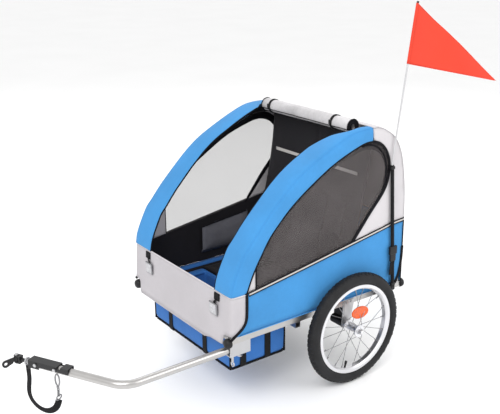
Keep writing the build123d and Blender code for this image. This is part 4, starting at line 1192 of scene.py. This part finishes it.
def seat_back():
    """The padded sling back with its seams and a reflective tape."""
    half_x, half_y = 268.0, (BACK_HEAD - BACK_FOOT).length / 2

    def tufts(u, v):
        return 0.85 * (1 - 0.5 * groove(u * half_x, 8)) * (1 - 0.4 * groove((v - 0.18) * half_y, 7))

    pad = pillow("seat_back_pad", half_x, half_y, 12, tufts, (60, 64))
    for vertex in pad.data.vertices:
        vertex.co.z -= back_sag((vertex.co.y / MM / half_y + 1) / 2) * MM
    centre = BACK_FOOT.lerp(BACK_HEAD, 0.5)
    tilt = math.atan2(BACK_HEAD.y - BACK_FOOT.y, BACK_HEAD.x - BACK_FOOT.x)
    place_at(pad, Matrix.Translation(row(centre.x + 5, centre.y, 0) * MM) @ Matrix.Rotation(tilt, 4, "X"))
    puff_up(pad, 2.0)
    finish_piece(pad, "base", ["seat_back"])
    trim = Sewn()
    trim.strap([back_point(x, 708, 3.4) for x in range(-224, 225, 14)], 12, 1.4, FORWARDS, REFLECTIVE)
    trim.cord([back_point(x, 846, -3) for x in range(-266, 267, 14)], 4.0, count=10)
    for piece in (pad, trim.piece("seat_back_trim", "silver_fabric", "base")):
        fold_down(piece)


def harness():
    """Shoulder, lap and crotch straps with a buckle on each place."""
    parts = Sewn()
    for seat_x in (-130, 130):
        for strap_x in (seat_x - 48, seat_x + 48):
            inward = seat_x - strap_x
            shoulder = []
            for k in range(22):
                x = strap_x + inward * 0.35 * ease((k - 8) / 13)
                shoulder.append(back_point(x, 620 - 15.5 * k, 3.0))
            shoulder += [row(-14 - 9 * k, 293.5, strap_x + inward * (0.35 + 0.11 * k)) for k in range(4)]
            parts.strap(shoulder, 25, 1.8, strap_up)
            pad = [back_point(strap_x, height, 6.0) for height in range(600, 470, -12)]
            parts.strap(pad, 44, 7, (0, -1, 0.15), BLACK)
            parts.block((32, 5, 22), 1.6, back_point(strap_x, 452, 5.5))
        turns = [k / 12 for k in range(13)]
        lap = [row(-12 - 22 * math.sin(math.pi * t), 292.5, seat_x - 98 + 196 * t) for t in turns]
        parts.strap(lap, 25, 1.8, (0, 0, 1))
        crotch = [row(-160 + 11 * k, 292.6 + 1.2 * math.sin(k / 2), seat_x) for k in range(12)]
        parts.strap(crotch, 25, 1.8, (0, 0, 1))
        parts.block((42, 46, 10), 3.5, row(-40, 297, seat_x))
        parts.block((18, 16, 3), 1.2, row(-46, 302, seat_x), STEEL)
    fold_down(parts.piece("harness_set", "webbing", "base", ["harness"]))


def strap_up(p):
    """Harness webbing lies on the back, then on the seat."""
    return Vector((0, -1, 0.15)) if p.z > 300 else Vector((0, 0, 1))


def rolled_cover():
    """The front cover rolled up: a spiral roll with bound ends and two elastic straps."""
    turns, steps = 3.6, 110
    spiral = []
    for i in range(steps + 1):
        t = i / steps
        a = -2 * math.pi * turns * (1 - t) + math.radians(200)
        r = 9 + (ROLL_R - 10.0) * t
        spiral.append((r * math.cos(a), r * math.sin(a)))
    rows = []
    for k in range(49):
        x = -ROLL_HALF + 2 * ROLL_HALF * k / 48
        pinch = 1.6 * sum(groove(x - strap_x, 12) for strap_x in ROLL_STRAPS)
        cells = []
        for y, z in spiral:
            r = math.hypot(y, z)
            crumple = 0.035 * ripple((x, y * 2, z * 2), 42, 2) + 0.045 * ripple((x / 7, y, z), 9, 4)
            f = 1 - (pinch / ROLL_R) * (r / ROLL_R) + crumple * (r / ROLL_R)
            cells.append(row(ROLL_Y + y * f, ROLL_Z + z * f, x))
        rows.append(cells)
    roll = grid("roll_cloth", rows, ROLL)
    area = area_of(roll)
    parts = Sewn([thicken(roll, 1.4, 0.0)])
    parts.cord([cells[-1] for cells in rows], 1.7)
    for x in (-ROLL_HALF, ROLL_HALF):
        parts.cord([row(ROLL_Y + y, ROLL_Z + z, x) for y, z in spiral], 2.6, up=ASIDE)
    for x in ROLL_STRAPS:
        hoop = circle(row(ROLL_Y, ROLL_Z, x), Vector((0, 25.2, 0)), Vector((0, 0, 25.2)), 40)
        parts.strap(hoop, 11, 2.0, lambda p: p - row(ROLL_Y, ROLL_Z, p.x), closed=True)
        parts.block((10, 8, 16), 2.0, row(ROLL_Y - 27, ROLL_Z + 4, x))
    out = parts.piece("rolled_front_cover", "silver_fabric", "base", ["rolled_cover"])
    declare_cloth(
        out, 2 * ROLL_HALF, area / MM / MM / (2 * ROLL_HALF), area, "folded", ["crossbar_bar"]
    )
    fold_down(out)


def side_pocket():
    """The grey mesh pocket inside the right wall."""
    outline = [(-210, 328), (2, 328), (2, 462), (-150, 446), (-210, 436)]

    def place(u, v, edge):
        pouch = 13 * ease(edge / 45) * ease((v - 320) / 50) + ripple((u, v, 1), 40, 3)
        return row(u, v, -293 + pouch * 0.6 + 12 * ease((v - 328) / 20))

    sheet = patch("pocket_cloth", outline, place, POCKET, 10)
    area = area_of(sheet)
    parts = Sewn([thicken(sheet, 1.0, 0.0)])
    parts.cord([row(u, 437 + 25 * (u + 210) / 212, -279) for u in range(-210, 3, 12)], 2.6)
    out = parts.piece("inner_pocket", "black_fabric")
    declare_cloth(out, *spans(outline), area, "hung", ["right_lower_wall"])
    bend_at_hinge(out, RIGHT)


crossbar()
roof()
rear_wall()
apron()
footwell()
floor_cover()
seat()
seat_back()
harness()
rolled_cover()
side_pocket()


# ---- Wheels ----
def tyre(side):
    """The tyre: a round casing, sidewall ribs and a shallow tread."""
    centre_r, tube_r = 178.5, 20.6
    hub = Vector((side * WHEEL_X, AXLE_Y, AXLE_Z))
    profile = []
    for k in range(45):
        degrees = -137 + 274 * k / 44
        r = tube_r
        if abs(degrees) > 96:
            r += 0.7 * (1 - abs(abs(degrees) - 116) / 20)
        profile.append((r * math.sin(math.radians(degrees)), centre_r + r * math.cos(math.radians(degrees))))
    profile += [(13, 162), (11.4, 160.5), (-11.4, 160.5), (-13, 162)]
    parts = [revolve("casing", profile, hub, TYRE, count=128)]
    blocks = 72
    for step in range(blocks):
        for lane in (-1, 0, 1):
            a = math.radians(lane * 27 + (4 if step % 2 else -4))
            r = tube_r + 0.35
            outwards = Vector((r * math.sin(a), centre_r + r * math.cos(a), 0))
            block = box_piece("block", (8.0, 1.5, 11.0), TYRE, 0.5, segments=1)
            around = 2 * math.pi * step / blocks + math.radians(2.5 * (lane != 0))
            place_at(
                block,
                Matrix.Translation(hub * MM) @ Matrix.Rotation(around, 4, "X")
                @ Matrix.Translation(outwards * MM) @ Matrix.Rotation(-a, 4, "Z"),
            )
            parts.append(block)
    name = SIDE_NAMES[side]
    finish_piece(join(f"{name}_tyre_tread", parts), f"{name}_wheel", [f"{name}_tyre"])


def wheel_trim(side):
    """Spoke nipples, the valve and the oval reflector."""
    name = SIDE_NAMES[side]
    body = f"{name}_wheel"
    centre = Vector((side * WHEEL_X, AXLE_Y, AXLE_Z))
    nipples = Sewn()
    for k in range(20):
        turn = 2 * math.pi * k / 20
        out = Vector((0, math.cos(turn), math.sin(turn)))
        lean = Vector((side * (4 if k % 2 else -4), 0, 0))
        nipples.cord([centre + lean + out * r for r in (134, 138, 142, 145.5)], 1.8, WIRE, ASIDE)
    nipples.piece(f"{name}_nipples", "chrome", body)
    down = Vector((0, math.cos(math.radians(-104)), math.sin(math.radians(-104))))
    valve = Sewn()
    valve.cord([centre + down * r for r in (146, 142, 138, 134, 131)], 3.4, TYRE, ASIDE, count=12)
    valve.cord([centre + down * r for r in (132, 129, 125, 122)], 4.2, PLASTIC, ASIDE, count=12)
    valve.piece(f"{name}_valve", "black_plastic", body)
    long_way, short_way = (
        Matrix.Rotation(math.radians(-5), 3, "X") @ Vector(axis) for axis in ((0, 38, 0), (0, 0, 22))
    )
    rows = []
    for inward, off in ((1.0, 0.0), (1.0, 3.2), (0.94, 4.6), (0.86, 4.9), (0.84, 4.2), (0.4, 4.6), (0.02, 4.8)):
        middle = centre + Vector((side * (14 + off), 13, 61))
        rows.append(circle(middle, long_way * inward, short_way * inward, 56))
    lens = grid("lens", rows, ORANGE, closed=True)
    back_middle = centre + Vector((side * 14, 13, 61))
    back = grid("back", [rows[0], [back_middle] * len(rows[0])], ORANGE, closed=True)
    lens = weld(join(f"{name}_oval_reflector", [lens, back]), 0.02)
    finish_piece(lens, body, [f"{name}_wheel_reflector"])


for side in (LEFT, RIGHT):
    tyre(side)
    wheel_trim(side)


# ---- Rail ends ----
def rail_knobs():
    """The rounded plastic knobs on the rails' four ends."""
    parts = Sewn()
    profile = [
        (-6, 0.01), (-6, 12), (-4, 15), (0, 16.4), (5, 16.8), (10, 15.5), (14, 12), (16, 7), (16.6, 0.01),
    ]
    for side in (LEFT, RIGHT):
        for end, way, z in ((-485, -1, 276), (267, 1, 281)):
            shape = [(way * along, radius) for along, radius in profile]
            centre = row(end, z, side * 286.5)
            parts.append(revolve("knob", shape, centre, PLASTIC, axis="Y", count=40, closed=False))
    parts.piece("rail_end_knobs", "black_plastic", "base", ["rail_end_caps"])


rail_knobs()


# ---- Tow bar ----
TOW_TURN = math.radians(61.6)
BAR_BACK = Vector((math.sin(TOW_TURN), math.cos(TOW_TURN), 0))
BAR_SIDE = Vector((-BAR_BACK.y, BAR_BACK.x, 0))
COUPLER = Vector((-27.0, AXLE_Y - 1006, 0))
# The strap's route in the part: distance back along the coupler from its front face, height.
STRAP = [
    (-14.5, 232), (-14, 211), (-14, 183), (-20, 154), (-21, 127), (-9, 104), (14, 88),
    (43, 84), (70, 96), (88, 117), (95, 140),
]
STRAP_WIDTH = 21.0


def coupler_point(back, height, aside=0.0):
    """A point by its distance back along the coupler and its height."""
    return COUPLER + BAR_BACK * back + BAR_SIDE * aside + Vector((0, 0, height))


def safety_strap():
    """The webbing safety strap, hanging in a loop below the coupler, and its hardware."""
    curve = bpy.data.curves.new("strap_route", "CURVE")
    curve.dimensions = "3D"
    curve.resolution_u = 8
    spline = curve.splines.new("NURBS")
    spline.points.add(len(STRAP) - 1)
    for point, (back, height) in zip(spline.points, STRAP):
        point.co = (*(coupler_point(back, height) * MM), 1)
    spline.order_u = 3
    spline.use_endpoint_u = True
    route = add_object("strap_route", curve)
    bpy.context.view_layer.update()
    line = bpy.data.meshes.new_from_object(route)
    bpy.data.objects.remove(route)
    path = evenly([v.co / MM for v in line.vertices], 4)
    section = strap_section(STRAP_WIDTH, 2.0)
    strap = section_sweep("safety_strap_webbing", path, section, strap_out, WEBBING)
    finish_piece(strap, "tow_bar", ["safety_strap"])

    end = coupler_point(*STRAP[-1])
    hook = Sewn()
    d_ring = circle(end + UPWARDS * 7, BAR_SIDE * 12.5, UPWARDS * 7, 28)
    hook.cord(d_ring, 2.3, WIRE, BAR_BACK, closed=True)
    for k in range(3):
        aside = BAR_SIDE if k % 2 else BAR_BACK
        link = circle(end + UPWARDS * (17 + 8.5 * k), aside * 4.0, UPWARDS * 6.5, 20)
        hook.cord(link, 1.6, WIRE, aside.cross(UPWARDS), closed=True)
    hook.cord([end + UPWARDS * h for h in (38, 42, 47)], 4.6, WIRE, BAR_SIDE, count=14)
    bow = []
    for k in range(30):
        a = math.radians(-90 + 335 * k / 29)
        bow.append(end + BAR_BACK * 8 * math.cos(a) + UPWARDS * (67 + 20 * math.sin(a)))
    hook.cord(bow, 2.8, WIRE, BAR_SIDE, count=10)
    snap_hook = hook.piece("snap_hook", "bare_steel", "tow_bar", ["safety_hook"])


def strap_out(p):
    """The strap twists as it hangs: its face looks part out of the loop and part to the side."""
    middle = coupler_point(38, 160)
    return (p - middle).normalized() * 0.25 - BAR_SIDE


def pin_clip():
    """The wire clip on the tow bar's bracket."""
    clip = []
    for k in range(26):
        a = math.radians(360 * k / 25)
        clip.append(row(-440 + 9 * math.sin(a), 219 - 3 * math.cos(a), 275 + 12 * math.cos(a)))
    ring = cord_along("pin_clip_ring", clip, 1.2, CHROME, count=8)
    finish_piece(ring, "base")


safety_strap()
pin_clip()


# ---- Flag ----
def flag():
    """The pennant: light cloth with a pole hem and a slow wave."""
    low, high = row(228.7, 1078.0, POLE_X), row(258.4, 1270.0, POLE_X)
    tip = row(611, 989.0, 372.0)
    rows = []
    out_steps, up_steps = 44, 22
    square = (high - low).cross(tip - low).normalized()
    for i in range(out_steps + 1):
        t = i / out_steps
        cells = []
        for j in range(up_steps + 1):
            s = j / up_steps
            p = low.lerp(high, s).lerp(tip, t)
            wave = 7.0 * math.sin(2.1 * math.pi * t + 1.3 * s) * ease(t * 3) * (1 - t) ** 0.4
            p += square * (wave + 1.2 * ripple(p, 60, 2) * ease(t * 4))
            cells.append(p)
        rows.append(cells)
    parts = Sewn([thicken(weld(grid("flag_sheet", rows, FLAG), 0.05), 0.5, 0.0)])
    parts.cord([low.lerp(high, k / 12) for k in range(13)], 4.4, FLAG, ASIDE, count=12)
    for edge in (0, -1):
        parts.cord([cells[edge] for cells in rows[:-1]], 0.9, FLAG, ASIDE, count=6)
    out = join("flag_cloth_sewn", parts)
    finish_piece(out, "flag_staff", ["flag"])
    tip_cap = [row(y, z, POLE_X) for y, z in ((259, 1268), (259.6, 1272), (260, 1275.5))]
    finish_piece(cord_along("pole_tip_cap", tip_cap, 4.0, PLASTIC, ASIDE), "flag_staff")


def flag_sleeve():
    """The webbing channel that takes the pole, with its buckle."""
    low, high = row(211, 290, POLE_X), row(180, 742, POLE_X)
    path = [low.lerp(high, k / 30) for k in range(31)]
    section = circle(Vector((0, 0)), Vector((7.5, 0)), Vector((0, 4.6)), 20)
    parts = Sewn([section_sweep("sleeve_tube", path, section, ASIDE, WEBBING)])
    for t in (0.02, 0.98):
        parts.block((11, 18, 10), 2.0, low.lerp(high, t))
    parts.block((16, 17, 18), 2.5, row(211, 284, 304))
    buckle = low.lerp(high, 0.31)
    parts.block((9, 34, 30), 2.5, buckle + Vector((2.5, 0, 0)))
    parts.block((7, 26, 34), 2.2, buckle + Vector((2.5, 0, -24)))
    tail = [buckle + Vector((4 - 0.15 * k, -1 * k, -38 - 9 * k)) for k in range(7)]
    parts.strap(tail, 20, 1.8, ASIDE)
    parts.piece("flag_sleeve_sewn", "webbing", "base", ["flag_sleeve"])


flag()
flag_sleeve()


# ---- Stage, light and camera ----
def stage():
    """A pale floor with soft studio light."""
    surface = Surface("studio_floor", (0.93, 0.93, 0.93), 0.6)
    surface.shade(surface.noise(1.5, 2.0), 0.92 / 0.93, 0.94 / 0.93)
    corners = [(-60000, -60000, 0), (60000, -60000, 0), (60000, 60000, 0), (-60000, 60000, 0)]
    new_object("studio_floor", corners, [(0, 1, 2, 3)], surface.material)
    world = bpy.data.worlds.new("studio")
    bpy.context.scene.world = world
    world.use_nodes = True
    world.node_tree.nodes["Background"].inputs["Color"].default_value = (1.0, 1.0, 1.0, 1)
    world.node_tree.nodes["Background"].inputs["Strength"].default_value = 1.0
    for name, at, power in (
        ("key", (1.6, -2.8, 3.4), 95.0), ("fill", (3.2, 1.4, 2.6), 45.0), ("back", (-2.6, 2.4, 3.2), 45.0),
    ):
        light = bpy.data.lights.new(name, "AREA")
        light.energy = power
        light.size = 2.4
        lamp = add_object(name, light)
        lamp.location = at
        lamp.rotation_euler = (Vector((0, 0, 0.5)) - Vector(at)).to_track_quat("-Z", "Y").to_euler()


def camera():
    """The camera, aimed from the front left."""
    azimuth, elevation, roll = math.radians(53.94), math.radians(18.75), math.radians(-0.48)
    place = Vector((2.1597, -1.7632 + AXLE_Y * MM, 1.494))
    back = Vector((
        math.sin(azimuth) * math.cos(elevation), -math.cos(azimuth) * math.cos(elevation), math.sin(elevation)
    ))
    data = bpy.data.cameras.new("camera")
    data.sensor_width = 36.0
    data.lens = 58.6
    cam = add_object("camera", data)
    cam.matrix_world = Matrix.Translation(place) @ (
        back.to_track_quat("Z", "Y").to_matrix().to_4x4() @ Matrix.Rotation(roll, 4, "Z")
    )
    bpy.context.scene.camera = cam


stage()
camera()
bpy.context.scene.view_settings.view_transform = "Standard"

bpy.context.view_layer.update()
